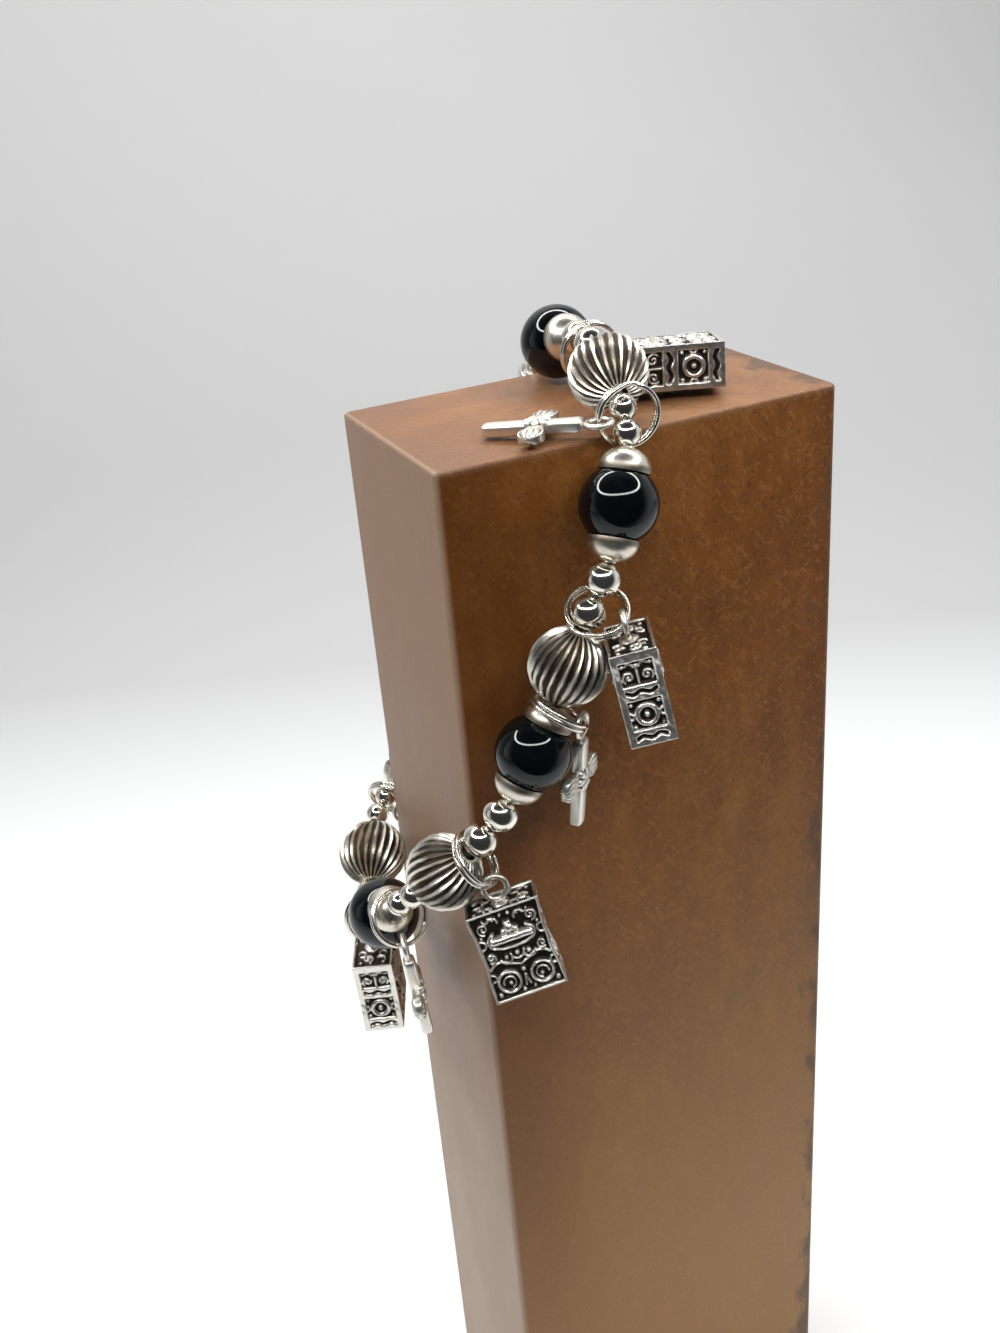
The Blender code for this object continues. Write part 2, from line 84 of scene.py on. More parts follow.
# The string's route: shares of the way out to a bead at rest, and of the whole hang
RoutePoint = namedtuple("RoutePoint", "place across deep drop")
ROUTE = [
    RoutePoint("behind the top", 0.055, 0.745, 0.026),
    RoutePoint("back of the top", 0.007, 0.144, -0.030),
    RoutePoint("front of the top", -0.030, -0.276, -0.030),
    RoutePoint("over the front edge", -0.095, -0.707, 0.015),
    RoutePoint("front edge", -0.139, -0.905, 0.075),
    RoutePoint("high on the front", -0.290, -1.080, 0.240),
    RoutePoint("middle of the front", -0.420, -1.060, 0.349),
    RoutePoint("below the middle", -0.515, -1.020, 0.472),
    RoutePoint("low on the front", -0.730, -1.035, 0.625),
    RoutePoint("near the corner", -0.890, -0.965, 0.712),
    RoutePoint("round the corner", -1.050, -0.765, 0.800),
    RoutePoint("off the left side", -1.139, -0.534, 0.866),
    RoutePoint("lowest, in front", -1.145, -0.046, 0.989),
    RoutePoint("lowest", -1.122, 0.155, 1.000),
    RoutePoint("lowest, behind", -1.070, 0.356, 0.993),
    RoutePoint("round the back corner", -0.955, 0.735, 0.932),
    RoutePoint("behind the corner", -0.795, 0.948, 0.888),
    RoutePoint("low on the back", -0.510, 1.035, 0.805),
    RoutePoint("middle of the back", -0.170, 1.040, 0.675),
    RoutePoint("high on the back", 0.030, 1.040, 0.485),
    RoutePoint("higher on the back", 0.105, 1.040, 0.320),
    RoutePoint("below the back edge", 0.110, 1.050, 0.165),
]

# How each charm hangs: the seat's piece, then the ring's centre and axis, the loop, the drop and the face
Charm = namedtuple("Charm", "kind unit seat centre axis loop drop face")
CHARMS = [
    Charm("box", 1, "large 2", (0.20, 0.05, -0.47), (-0.10, -0.99, -0.07), (0.73, -0.03, -0.68),
          (0.92, -0.39, 0.00), (0.04, 0.09, 1.00)),
    Charm("cross", 1, "small 2", (0.13, 0.08, 0.10), (-0.15, -0.99, -0.05), (-0.99, 0.12, -0.10),
          (-0.75, 0.66, -0.07), (-0.06, 0.03, 1.00)),
    Charm("box", 2, "fluted", (0.53, -0.21, 0.55), (-0.22, -0.45, 0.86), (0.59, -0.74, -0.32),
          (0.15, -0.11, -0.98), (0.90, -0.40, 0.18)),
    Charm("cross", 3, "black", (-0.01, -0.10, -0.30), (-0.61, 0.04, -0.79), (0.77, -0.09, -0.68),
          (-0.08, 0.05, -1.00), (0.63, -0.77, -0.09)),
    Charm("box", 3, "fluted", (0.15, -0.12, -0.30), (-0.64, 0.50, -0.58), (0.37, -0.56, -0.95),
          (0.15, -0.28, -0.95), (-0.34, -0.91, 0.22)),
    Charm("cross", 4, "black", (0.04, -0.32, -0.30), (-0.12, 0.79, -0.60), (-0.14, -0.65, -0.83),
          (0.10, -0.04, -0.99), (0.95, -0.30, 0.11)),
    Charm("box", 4, "large 2", (-0.10, -0.16, -0.31), (-0.03, 1.00, -0.05), (-0.12, -0.04, -0.97),
          (0.06, 0.04, -1.00), (-0.91, 0.41, -0.04)),
    Charm("cross", 4, "small 2", (0.65, 0.35, -0.08), (0.65, 0.62, 0.44), (0.43, 0.18, -0.88),
          (0.01, 0.01, -1.00), (-0.01, 1.00, 0.01)),
    Charm("box", 5, "fluted", (0.11, 0.12, -0.28), (0.67, 0.03, 0.74), (0.64, 0.50, -0.59),
          (0.00, 0.00, -1.00), (0.00, 1.00, 0.00)),
    Charm("cross", 5, "small 2", (0.13, 0.25, -0.48), (0.21, -0.04, 0.98), (-0.38, 0.88, 0.09),
          (0.09, 0.13, -0.99), (0.34, 0.93, 0.15)),
    Charm("box", 6, "fluted", (0.07, 0.20, -0.54), (0.15, -0.22, 0.96), (0.64, 0.69, 0.07),
          (0.01, 0.29, -0.96), (0.10, 0.95, 0.28)),
    Charm("cross", 6, "small 1", (0.38, 0.01, -0.01), (0.06, -0.28, 0.96), (1.14, 0.02, -0.04),
          (0.51, 0.06, -0.86), (0.00, 1.00, 0.07)),
]


# Where everything is strung

def strung_pieces():
    """The pieces in the order they are strung: kind, unit and the length each takes along the cord."""
    pieces = []
    for unit in range(1, UNITS + 1):
        pieces.append(("black", unit, BLACK_DIAMETER + 2 * (GAP + CAP_REACH)))
        pieces.append(("large 1", unit, LARGE_SPACER + SPACER_NECK))
        pieces.append(("large 2", unit, LARGE_SPACER + SPACER_NECK))
        pieces.append(("fluted", unit, FLUTED_LENGTH + 2 * STRUNG_GAP))
        if unit != UNIT_WITHOUT_SMALL_SPACERS:
            pieces.append(("small 1", unit, SMALL_SPACER + SPACER_NECK))
            pieces.append(("small 2", unit, SMALL_SPACER + SPACER_NECK))
    return pieces


def route_points(hang):
    """The route's points for a loop that hangs this far below a bead on the top."""
    rest = FLUTED_DIAMETER / 2 + GAP
    reach = np.array((POST_WIDTH / 2 + rest, POST_DEPTH / 2 + rest, -hang))
    shares = np.array([(p.across, p.deep, p.drop) for p in ROUTE])
    return shares * reach + np.array((0.0, 0.0, POST_HEIGHT + rest))


def smooth_loop(points):
    """A closed centripetal Catmull-Rom curve: cubic Hermite spans whose end slopes come from the distances
    to the neighbouring points, each raised to the power one half."""
    before, after, beyond = (np.roll(points, shift, axis=0) for shift in (1, -1, -2))
    t1 = np.sqrt(np.linalg.norm(points - before, axis=1))[:, None]
    t2 = np.sqrt(np.linalg.norm(after - points, axis=1))[:, None]
    t3 = np.sqrt(np.linalg.norm(beyond - after, axis=1))[:, None]
    leave = t2 * ((points - before) / t1 - (after - before) / (t1 + t2) + (after - points) / t2)
    arrive = t2 * ((after - points) / t2 - (beyond - points) / (t2 + t3) + (beyond - after) / t3)
    u = np.linspace(0, 1, CURVE_STEPS, endpoint=False)[None, :, None]
    curve = ((2 * u**3 - 3 * u**2 + 1) * points[:, None] + (u**3 - 2 * u**2 + u) * leave[:, None]
             + (3 * u**2 - 2 * u**3) * after[:, None] + (u**3 - u**2) * arrive[:, None])
    return curve.reshape(-1, 3)


def chord_joints(curve, lengths):
    """Step the pieces along the closed curve as straight chords. Return their joints and the overrun."""
    loop = np.vstack([curve, curve, curve[:1]])
    along = np.concatenate([[0.0], np.cumsum(np.linalg.norm(np.diff(loop, axis=0), axis=1))])
    joints = [loop[0]]
    reached = 0
    for length in lengths:
        while np.linalg.norm(loop[reached + 1] - joints[-1]) < length:
            reached += 1
        low, high = 0.0, 1.0
        for _ in range(BISECTIONS):
            middle = (low + high) / 2
            point = loop[reached] + (loop[reached + 1] - loop[reached]) * middle
            if np.linalg.norm(point - joints[-1]) < length:
                low = middle
            else:
                high = middle
        joints.append(loop[reached] + (loop[reached + 1] - loop[reached]) * high)
    end = along[reached] + high * (along[reached + 1] - along[reached])
    return np.array(joints), end - along[len(curve)]


def lay_string(pieces):
    """Find the hang at which the closed route is just as long as its pieces, and return their joints."""
    lengths = [length for _, _, length in pieces]
    low, high = HANG_LEAST, HANG_MOST
    for _ in range(BISECTIONS):
        hang = (low + high) / 2
        joints, overrun = chord_joints(smooth_loop(route_points(hang)), lengths)
        if overrun > 0:
            low = hang
        else:
            high = hang
    joints[-1] = joints[0]
    return joints


def unit_vector(vector):
    vector = np.asarray(vector, dtype=float)
    return vector / np.linalg.norm(vector)


def frame_matrix(origin, up, front):
    """A frame whose Z is up and whose Y is as near front as a right angle to Z lets it be."""
    z_axis = unit_vector(up)
    y_axis = np.asarray(front, dtype=float)
    y_axis = unit_vector(y_axis - y_axis.dot(z_axis) * z_axis)
    matrix = np.eye(4)
    matrix[:3, 0] = np.cross(y_axis, z_axis)
    matrix[:3, 1] = y_axis
    matrix[:3, 2] = z_axis
    matrix[:3, 3] = origin
    return matrix


STRUNG = strung_pieces()
JOINTS = lay_string(STRUNG)
SEATS = {(unit, kind): start for (kind, unit, _), start in zip(STRUNG, JOINTS)}


def strung_frames(wanted):
    """Where each strung piece of the wanted kind lies, with Z along the cord."""
    found = []
    for (kind, unit, _), start, end in zip(STRUNG, JOINTS, JOINTS[1:]):
        if kind.startswith(wanted):
            found.append((unit, frame_matrix((start + end) / 2, end - start, (0.3, 0.2, 1.0))))
    return found


def ring_centre(charm):
    """The middle of a charm's split ring, measured in ring radii from its seat on the string."""
    return SEATS[(charm.unit, charm.seat)] + RING_MEAN * np.array(charm.centre)


def charm_frames(wanted):
    """Where each charm of the wanted kind hangs, with its origin in the middle of its loop."""
    found = []
    for charm in CHARMS:
        if charm.kind == wanted:
            loop = ring_centre(charm) + RING_MEAN * np.array(charm.loop)
            found.append(frame_matrix(loop, -np.array(charm.drop), charm.face))
    return found


def ring_frames():
    """Where each split ring lies, with Z its axis."""
    return [frame_matrix(ring_centre(charm), charm.axis, charm.loop) for charm in CHARMS]


# Surfaces

class Shell:
    """Grids of points gathered into one mesh, with a mark on each point that its material reads."""

    def __init__(self):
        self.points = []
        self.marks = []
        self.faces = []
        self.count = 0

    def add(self, points, mark=0.0, round_rows=False, round_columns=True,
            close_first=False, close_last=False):
        """Add a grid of rows by columns of points. Columns that run anticlockwise seen from the last row
        face outwards. Rows or columns may join up, and the first and last rows may be closed by a fan."""
        rows, columns = points.shape[:2]
        index = np.arange(rows * columns).reshape(rows, columns) + self.count
        marks = np.broadcast_to(mark, (rows, columns)).reshape(-1)
        self.points.append(points.reshape(-1, 3))
        self.marks.append(marks)
        self.count += rows * columns
        grid = np.vstack([index, index[:1]]) if round_rows else index
        grid = np.hstack([grid, grid[:, :1]]) if round_columns else grid
        quads = np.stack([grid[:-1, :-1], grid[:-1, 1:], grid[1:, 1:], grid[1:, :-1]], axis=-1)
        self.faces.append(quads.reshape(-1, 4))
        for wanted, row, at in ((close_first, index[0, ::-1], 0), (close_last, index[-1], -1)):
            if wanted:
                self.points.append(points[at].mean(axis=0)[None])
                self.marks.append(np.array([np.mean(np.broadcast_to(mark, (rows, columns))[at])]))
                hub = np.full(columns, self.count)
                self.faces.append(np.stack([hub, row, np.roll(row, -1)], axis=-1))
                self.count += 1

    def mesh(self, name, sharp_degrees, merge=False):
        """Put the grids into a mesh. Merging joins points that lie together and turns all faces outwards."""
        points = np.concatenate(self.points)
        corners = np.concatenate([face.ravel() for face in self.faces])
        sizes = np.concatenate([np.full(len(face), face.shape[1]) for face in self.faces])
        mesh = bpy.data.meshes.new(name)
        mesh.vertices.add(len(points))
        mesh.vertices.foreach_set("co", points.astype(np.float32).ravel())
        mesh.loops.add(len(corners))
        mesh.loops.foreach_set("vertex_index", corners.astype(np.int32))
        mesh.polygons.add(len(sizes))
        starts = np.concatenate([[0], np.cumsum(sizes)[:-1]])
        mesh.polygons.foreach_set("loop_start", starts.astype(np.int32))
        mesh.update(calc_edges=True)
        mark = mesh.attributes.new("mark", "FLOAT", "POINT")
        mark.data.foreach_set("value", np.concatenate(self.marks).astype(np.float32))
        if merge:
            bm = bmesh.new()
            bm.from_mesh(mesh)
            bmesh.ops.remove_doubles(bm, verts=bm.verts, dist=1e-6)
            bmesh.ops.recalc_face_normals(bm, faces=bm.faces)
            bm.to_mesh(mesh)
            bm.free()
        mesh.shade_smooth()
        mesh.set_sharp_from_angle(angle=math.radians(sharp_degrees))
        return mesh


def moved(points, matrix):
    """Points carried from a piece's own frame to where it lies."""
    return points @ matrix[:3, :3].T + matrix[:3, 3]


def turned(along, radius, sides):
    """A profile spun about Z: rows are its stations and columns the turn."""
    turn = np.linspace(0, 2 * math.pi, sides, endpoint=False)
    along, radius = np.asarray(along)[:, None], np.asarray(radius)[:, None]
    return np.stack([radius * np.cos(turn), radius * np.sin(turn), along + 0 * turn], axis=-1)


def smooth_step(value, low, high):
    """Nought below low, one above high, and a cubic ease between."""
    t = np.clip((value - low) / (high - low), 0.0, 1.0)
    return t * t * (3 - 2 * t)


def drilled_ball(radius, length, bore, count):
    """Half outline of a drilled ball: equal angles from mouth to mouth, stretched to its length."""
    start = math.asin(bore / radius)
    stretch = length / (2 * radius * math.cos(start))
    angle = np.linspace(start, math.pi - start, count)
    return -radius * np.cos(angle) * stretch, radius * np.sin(angle)


def add_piece(name, mesh, material, nodes):
    """Link a finished mesh that rides on the body and stands for its CAD nodes."""
    piece = bpy.data.objects.new(name, mesh)
    mesh.materials.append(material)
    bpy.context.scene.collection.objects.link(piece)
    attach(piece, "root")
    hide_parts(*nodes)
    return piece


# Forms of the beads, the string and the rings

def black_bead_shell(matrix, size):
    """A drilled ball: radius times cosine and sine of the angle from its axis, spun about the cord."""
    stations, sides = 44, 72
    radius, bore = size.black_diameter / 2, size.bead_bore / 2
    ball = drilled_ball(radius, 2 * math.sqrt(radius**2 - bore**2), bore, stations)
    shell = Shell()
    shell.add(moved(turned(*ball, sides), matrix), round_rows=True)
    return shell


def fluted_bead_shell(matrix, size):
    """A drilled ball whose radius dips between ridges: the dip is half of one minus the cosine of the turn
    times the count of flutes, to a power that keeps the ridges narrow, and the turn twists along the axis."""
    stations, sides_to_a_flute, mouth_mark = 46, 12, 0.25
    radius, bore = FLUTED_DIAMETER / 2, size.bead_bore / 2
    along, outer = drilled_ball(radius, FLUTED_LENGTH, bore, stations)
    along, outer = along[:, None], outer[:, None]
    turn = np.linspace(0, 2 * math.pi, size.flute_count * sides_to_a_flute, endpoint=False)[None, :]
    dip = ((1 - np.cos(turn * size.flute_count)) / 2)**size.ridge_width
    fade = smooth_step(outer, 1.05 * bore, 0.42 * radius)
    narrow = outer - size.flute_depth * fade * dip
    angle = turn + size.flute_twist * along / radius
    points = np.stack([narrow * np.cos(angle), narrow * np.sin(angle), along + 0 * turn], axis=-1)
    shell = Shell()
    shell.add(moved(points, matrix), mark=dip * fade + (1 - fade) * mouth_mark, round_rows=True)
    return shell


def spacers_shell(size):
    """Balls on the cord, each a half circle spun about its piece of the cord, which it nearly fills."""
    stations, sides, filled = 26, 40, 0.985
    shell = Shell()
    for kind, length, diameter in (("large", LARGE_SPACER, size.large_spacer),
                                   ("small", SMALL_SPACER, size.small_spacer)):
        for _, matrix in strung_frames(kind):
            ball = drilled_ball(diameter / 2, filled * length, size.cord_diameter / 2, stations)
            shell.add(moved(turned(*ball, sides), matrix), round_rows=True)
    return shell


def caps_shell(size):
    """Domed caps at both ends of each black bead: a quarter ellipse outside from the rim to a small collar,
    and inside a circle round the bead's middle, joined over the rim's rounded lip."""
    clear, lip_height, lip_width, collar = 0.00012, 0.00016, 0.00005, 0.00010
    seat = size.black_diameter / 2 + clear
    tip = size.black_diameter / 2 + GAP + CAP_REACH
    rim = size.cap_diameter / 2
    foot = math.sqrt(seat**2 - rim**2) + lip_height
    rise = np.radians(np.linspace(4, 77, 20))
    outer_along = foot + (tip - foot) * np.sin(rise)
    outer_radius = rim * np.cos(rise)**0.92
    inner_radius = np.linspace(0.55 * outer_radius[-1], rim - lip_width, 12)
    inner_along = np.sqrt(seat**2 - inner_radius**2)
    collar_along = np.full(2, outer_along[-1] + collar)
    collar_radius = outer_radius[-1] * np.array((0.92, 0.62))
    along = np.concatenate([outer_along, collar_along, inner_along])
    radius = np.concatenate([outer_radius, collar_radius, inner_radius])
    mark = np.concatenate([smooth_step(np.degrees(rise), 24, 8), [0.4, 0.7], np.full(12, 0.9)])[:, None]
    shell = Shell()
    for _, matrix in strung_frames("black"):
        for side in (1, -1):
            flip = np.eye(4)
            flip[:3, :3] = np.diag((1.0, side, side))
            shell.add(moved(turned(along, radius, 56), matrix @ flip), mark=mark, round_rows=True)
    return shell


def cord_shell(size):
    """The elastic: a circle carried along the closed run of joints."""
    middle = JOINTS[:-1]
    ahead = np.roll(middle, -1, axis=0) - np.roll(middle, 1, axis=0)
    ahead /= np.linalg.norm(ahead, axis=1)[:, None]
    side = np.cross(ahead, (0.36, 0.48, 0.80))
    side /= np.linalg.norm(side, axis=1)[:, None]
    across = np.cross(ahead, side)
    turn = np.linspace(0, 2 * math.pi, 12, endpoint=False)[None, :, None]
    ring = side[:, None] * np.cos(turn) + across[:, None] * np.sin(turn)
    shell = Shell()
    shell.add(middle[:, None] + size.cord_diameter / 2 * ring, round_rows=True)
    return shell


def split_ring_shell(matrix, size):
    """Two flat turns of round wire side by side: a circle carried round twice, which steps across by one
    pitch where it passes the gap between its ends."""
    jog = math.radians(22)
    pitch = RING_WIRE * 1.06
    stations = 150
    angle = np.linspace(jog, 4 * math.pi - jog, stations)[:, None]
    height = pitch * (smooth_step(angle, 2 * math.pi - jog, 2 * math.pi + jog) - 0.5)
    round_wire = np.linspace(0, 2 * math.pi, 14, endpoint=False)[None, :]
    ends = np.minimum(np.arange(stations), np.arange(stations)[::-1])[:, None]
    wire = size.ring_wire / 2 * (0.72 + 0.28 * smooth_step(ends, -0.5, 1.5))
    radius = RING_MEAN + wire * np.cos(round_wire)
    points = np.stack([radius * np.cos(angle), radius * np.sin(angle), height + wire * np.sin(round_wire)],
                      axis=-1)
    shell = Shell()
    shell.add(moved(points[:, ::-1], matrix), close_first=True, close_last=True)
    return shell


# Relief on the box charms, in millimetres on a face: the height of each kind of face over its sunk ground,
# and the share of the lid's relief that the foot shows
FRONT_RIM = 0.46
SIDE_SKIN = 0.44
LID_RIM = 0.40
FOOT_SHARE = 0.25


def ridge(distance, half_width, height):
    """A rounded ridge: height times the square root of one less the square of distance over half width."""
    return height * np.sqrt(np.clip(1 - (distance / half_width)**2, 0, 1))


def arc_ridge(x, s, centre, radius, start, end, half_width, height):
    """A ridge along part of a circle, measured to its nearest point, with round ends."""
    dx, ds = x - centre[0], s - centre[1]
    angle = np.degrees(np.arctan2(ds, dx))
    middle, reach = (start + end) / 2, (end - start) / 2
    off = np.clip(np.abs((angle - middle + 180) % 360 - 180) - reach, 0, None)
    radial = np.hypot(dx, ds)
    distance = np.hypot(radial - radius, np.minimum(np.radians(off), 1.5) * radius)
    return ridge(distance, half_width, height)


def spiral_ridge(x, s, centre, pitch, turns, hand, start, half_width, height):
    """A ridge along a spiral whose radius grows by one pitch a turn, to its nearest arm."""
    dx, ds = x - centre[0], s - centre[1]
    radial = np.hypot(dx, ds)
    angle = (hand * np.arctan2(ds, dx) - math.radians(start)) / (2 * math.pi) % 1.0
    arm = np.clip(np.round(radial / pitch - angle), 0, None) + angle
    arm = np.where(arm > turns, arm - 1, arm)
    return ridge(radial - np.clip(arm, 0, None) * pitch, half_width, height)


def line_ridge(x, s, first, last, half_width, height):
    """A ridge along a straight line with round ends."""
    run = np.array(last) - np.array(first)
    share = np.clip(((x - first[0]) * run[0] + (s - first[1]) * run[1]) / run.dot(run), 0, 1)
    return ridge(np.hypot(x - first[0] - share * run[0], s - first[1] - share * run[1]), half_width, height)


def dome(x, s, centre, radius, height):
    """A low round lump."""
    return ridge(np.hypot(x - centre[0], s - centre[1]), radius, height)


def front_relief(x, s, half_width, tall):
    """Height above the sunk ground of the box's front: a rim, a bar with turned-down ends and a leaf above
    it, curls, and two round scrolls below. Everything is the same on the left and the right."""
    m = np.abs(x)
    edge = np.minimum(half_width - m, np.minimum(s, tall - s))
    return np.maximum.reduce([
        FRONT_RIM * smooth_step(edge, 0.36, 0.17),
        line_ridge(m, s, (0.0, 3.40), (1.95, 3.40), 0.50, 0.72),
        arc_ridge(m, s, (1.60, 3.40), 0.84, -75, 60, 0.20, 0.52),
        line_ridge(m, s, (1.15, 4.42), (2.05, 4.08), 0.19, 0.48),
        line_ridge(m, s, (0.0, 4.50), (1.15, 4.42), 0.19, 0.46),
        dome(m, s, (0.0, 2.30), 0.60, 0.70),
        dome(m, s, (0.62, 2.62), 0.40, 0.58),
        dome(m, s, (0.22, 1.72), 0.26, 0.52),
        spiral_ridge(m, s, (2.55, 1.70), 0.38, 1.7, 1, 200, 0.14, 0.42),
        arc_ridge(m, s, (1.45, 1.35), 0.55, 170, 330, 0.14, 0.40),
        dome(m, s, (1.35, 1.05), 0.22, 0.36),
        dome(m, s, (3.05, 2.62), 0.24, 0.38),
        arc_ridge(m, s, (3.30, 3.45), 0.50, 90, 270, 0.13, 0.38),
        spiral_ridge(m, s, (2.75, 5.10), 0.38, 1.5, -1, 120, 0.14, 0.42),
        arc_ridge(m, s, (1.25, 5.50), 0.62, 10, 215, 0.15, 0.44),
        dome(m, s, (1.20, 5.40), 0.30, 0.44),
        dome(m, s, (0.0, 5.25), 0.32, 0.44),
        arc_ridge(m, s, (0.0, 5.30), 0.62, 40, 140, 0.13, 0.40),
        line_ridge(m, s, (0.0, 6.60), (1.10, 6.15), 0.15, 0.40),
        arc_ridge(m, s, (2.10, 7.10), 1.35, 225, 325, 0.16, 0.44),
        arc_ridge(m, s, (1.80, 8.15), 1.16, 0, 360, 0.20, 0.48),
        arc_ridge(m, s, (1.80, 8.20), 0.66, 110, 370, 0.14, 0.40),
        dome(m, s, (1.70, 8.35), 0.26, 0.36),
        dome(m, s, (0.60, 9.45), 0.30, 0.44),
        dome(m, s, (3.15, 9.35), 0.34, 0.42),
        dome(m, s, (0.0, 7.25), 0.30, 0.42),
        line_ridge(m, s, (0.0, 7.9), (0.25, 9.0), 0.18, 0.40),
        arc_ridge(m, s, (3.40, 7.30), 0.42, 90, 270, 0.13, 0.38),
        dome(m, s, (0.45, 0.75), 0.26, 0.38),
        arc_ridge(m, s, (2.05, 0.85), 0.34, 0, 200, 0.12, 0.36),
    ])


def side_relief(y, s):
    """Height above the sunk ground of the box's narrow side: a plain raised skin cut through by two bowed
    slots, a square window that frames a closed ring with a boss, and a smaller window that frames two curls.
    Everything is the same on the left and the right."""
    m = np.abs(y)
    windows = np.maximum(smooth_step(np.maximum(m - 1.68, np.abs(s - 6.85) - 1.52), 0.06, -0.10),
                         smooth_step(np.maximum(m - 1.68, np.abs(s - 2.35) - 1.30), 0.06, -0.10))
    cut = windows
    for middle, bend in ((9.20, 0.14), (4.42, -0.16)):
        wave = middle + bend * np.cos(y * 3.7)
        cut = np.maximum(cut, smooth_step(np.maximum(np.abs(s - wave) - 0.24, m - 1.60), 0.06, -0.08))
    motif = np.maximum.reduce([
        arc_ridge(y, s, (0.0, 6.90), 0.98, 0, 360, 0.30, 0.46),
        dome(m, s, (0.0, 6.90), 0.36, 0.42),
        dome(m, s, (1.38, 5.72), 0.26, 0.38),
        dome(m, s, (1.38, 8.05), 0.26, 0.38),
        arc_ridge(m, s, (1.66, 6.90), 0.34, 90, 270, 0.14, 0.38),
        spiral_ridge(m, s, (0.92, 2.70), 0.40, 1.6, 1, 200, 0.16, 0.42),
        line_ridge(m, s, (0.0, 1.95), (0.0, 3.40), 0.18, 0.42),
        dome(m, s, (0.0, 1.50), 0.30, 0.42),
        arc_ridge(m, s, (0.72, 1.62), 0.42, 180, 330, 0.14, 0.40),
        dome(m, s, (1.40, 1.42), 0.24, 0.38),
    ])
    return np.maximum(SIDE_SKIN * (1 - cut), motif * windows)


def lid_relief(x, y, half_width, half_depth):
    """Height above the sunk ground of the box's top: a rim, curls either side and a boss under the loop."""
    m, n = np.abs(x), np.abs(y)
    edge = np.minimum(half_width - m, half_depth - n)
    return np.maximum.reduce([
        LID_RIM * smooth_step(edge, 0.40, 0.16),
        dome(m, y, (0.0, 0.0), 1.15, 0.46),
        spiral_ridge(m, y, (2.35, 0.55), 0.40, 1.7, 1, 90, 0.15, 0.38),
        arc_ridge(m, n, (1.45, 1.25), 0.45, 120, 380, 0.14, 0.34),
        dome(m, n, (2.95, 1.35), 0.30, 0.34),
        arc_ridge(m, y, (2.5, -0.95), 0.60, 150, 330, 0.14, 0.34),
    ])


def cast_wobble(x, s):
    """A faint unevenness of the casting, in millimetres: crossed sines of unlike lengths."""
    broad = 0.022 * np.sin(4.3 * x + 1.1 * s) * np.sin(3.7 * s + 0.6)
    fine = 0.016 * np.sin(7.9 * x - 2.3) * np.sin(6.1 * s)
    return broad + fine


def box_half_width(s, size):
    """Half the box's width down its height, in millimetres: full at the top and foot and drawn in to the
    waist between by the square of a sine, with a slight wave."""
    share = np.clip(s / (size.box_height * 1000), 0, 1)
    draw = (size.box_width - size.box_waist) * 500
    dip = np.sin(math.pi * share**0.85)**2
    return size.box_width * 500 - draw * dip + 0.05 * np.sin(share * 6 * math.pi) * np.sin(math.pi * share)


def box_charm_grids(size):
    """The six sides of the box as grids in its own frame, in metres, with a mark of how sunk each point is.
    Neighbouring sides share their edge points, where every relief eases to the level of its rim."""
    columns, layers, rows = 84, 50, 106
    ease = 0.12
    tall, half_depth = size.box_height * 1000, size.box_depth * 500
    s = np.linspace(0, tall, rows + 1)[:, None]
    from_ends = np.minimum(s, tall - s)
    half = box_half_width(s, size)
    grids = []
    share = np.linspace(-1, 1, columns + 1)[None, :]
    for facing in (1, -1):
        x = -facing * share * half
        low = front_relief(x, s, half, tall) - FRONT_RIM + cast_wobble(x, s)
        low = low * smooth_step(np.minimum(half - np.abs(x), from_ends), 0.0, ease)
        grids.append((np.stack([x, facing * (half_depth + low), -s + 0 * x], axis=-1), low))
    share = np.linspace(-1, 1, layers + 1)[None, :]
    for facing in (1, -1):
        y = facing * share * half_depth
        low = side_relief(y, s + 0 * y) - SIDE_SKIN + cast_wobble(y, s)
        low = low * smooth_step(np.minimum(half_depth - np.abs(y), from_ends), 0.0, ease)
        grids.append((np.stack([facing * (half + low), y + 0 * s, -s + 0 * y], axis=-1), low))
    for at, facing, strength in ((0.0, 1, 1.0), (tall, -1, FOOT_SHARE)):
        edge = float(box_half_width(np.array(at), size))
        x = np.linspace(-edge, edge, columns + 1)[None, :]
        y = np.linspace(-half_depth, half_depth, layers + 1)[:, None]
        low = strength * (lid_relief(x + 0 * y, y + 0 * x, edge, half_depth) - LID_RIM)
        low = low * smooth_step(np.minimum(edge - np.abs(x), half_depth - np.abs(y)), 0.0, ease)
        grids.append((np.stack([x + 0 * y, y + 0 * x, -at + facing * low], axis=-1), low))
    top = np.array((0, 0, CHARM_TOP))
    return [(points / 1000 + top, np.clip(-low / LID_RIM, 0, 1)) for points, low in grids]


def loop_grid():
    """The charm's loop: a circle of wire carried round a circle in the plane of the charm's face."""
    mean = (LOOP_DIAMETER - LOOP_WIRE) / 2
    turn = np.linspace(0, 2 * math.pi, 56, endpoint=False)[:, None]
    section = np.linspace(0, 2 * math.pi, 16, endpoint=False)[None, :]
    radius = mean + LOOP_WIRE / 2 * np.cos(section)
    return np.stack([
        radius * np.cos(turn),
        LOOP_WIRE / 2 * np.sin(section) + 0 * turn,
        radius * np.sin(turn),
    ], axis=-1)


def box_charm_shell(matrix, size):
    """The box's six sides and its loop."""
    shell = Shell()
    for points, mark in box_charm_grids(size):
        shell.add(moved(points, matrix), mark=mark, round_columns=False)
    shell.add(moved(loop_grid(), matrix), mark=LOOP_MARK, round_rows=True)
    return shell


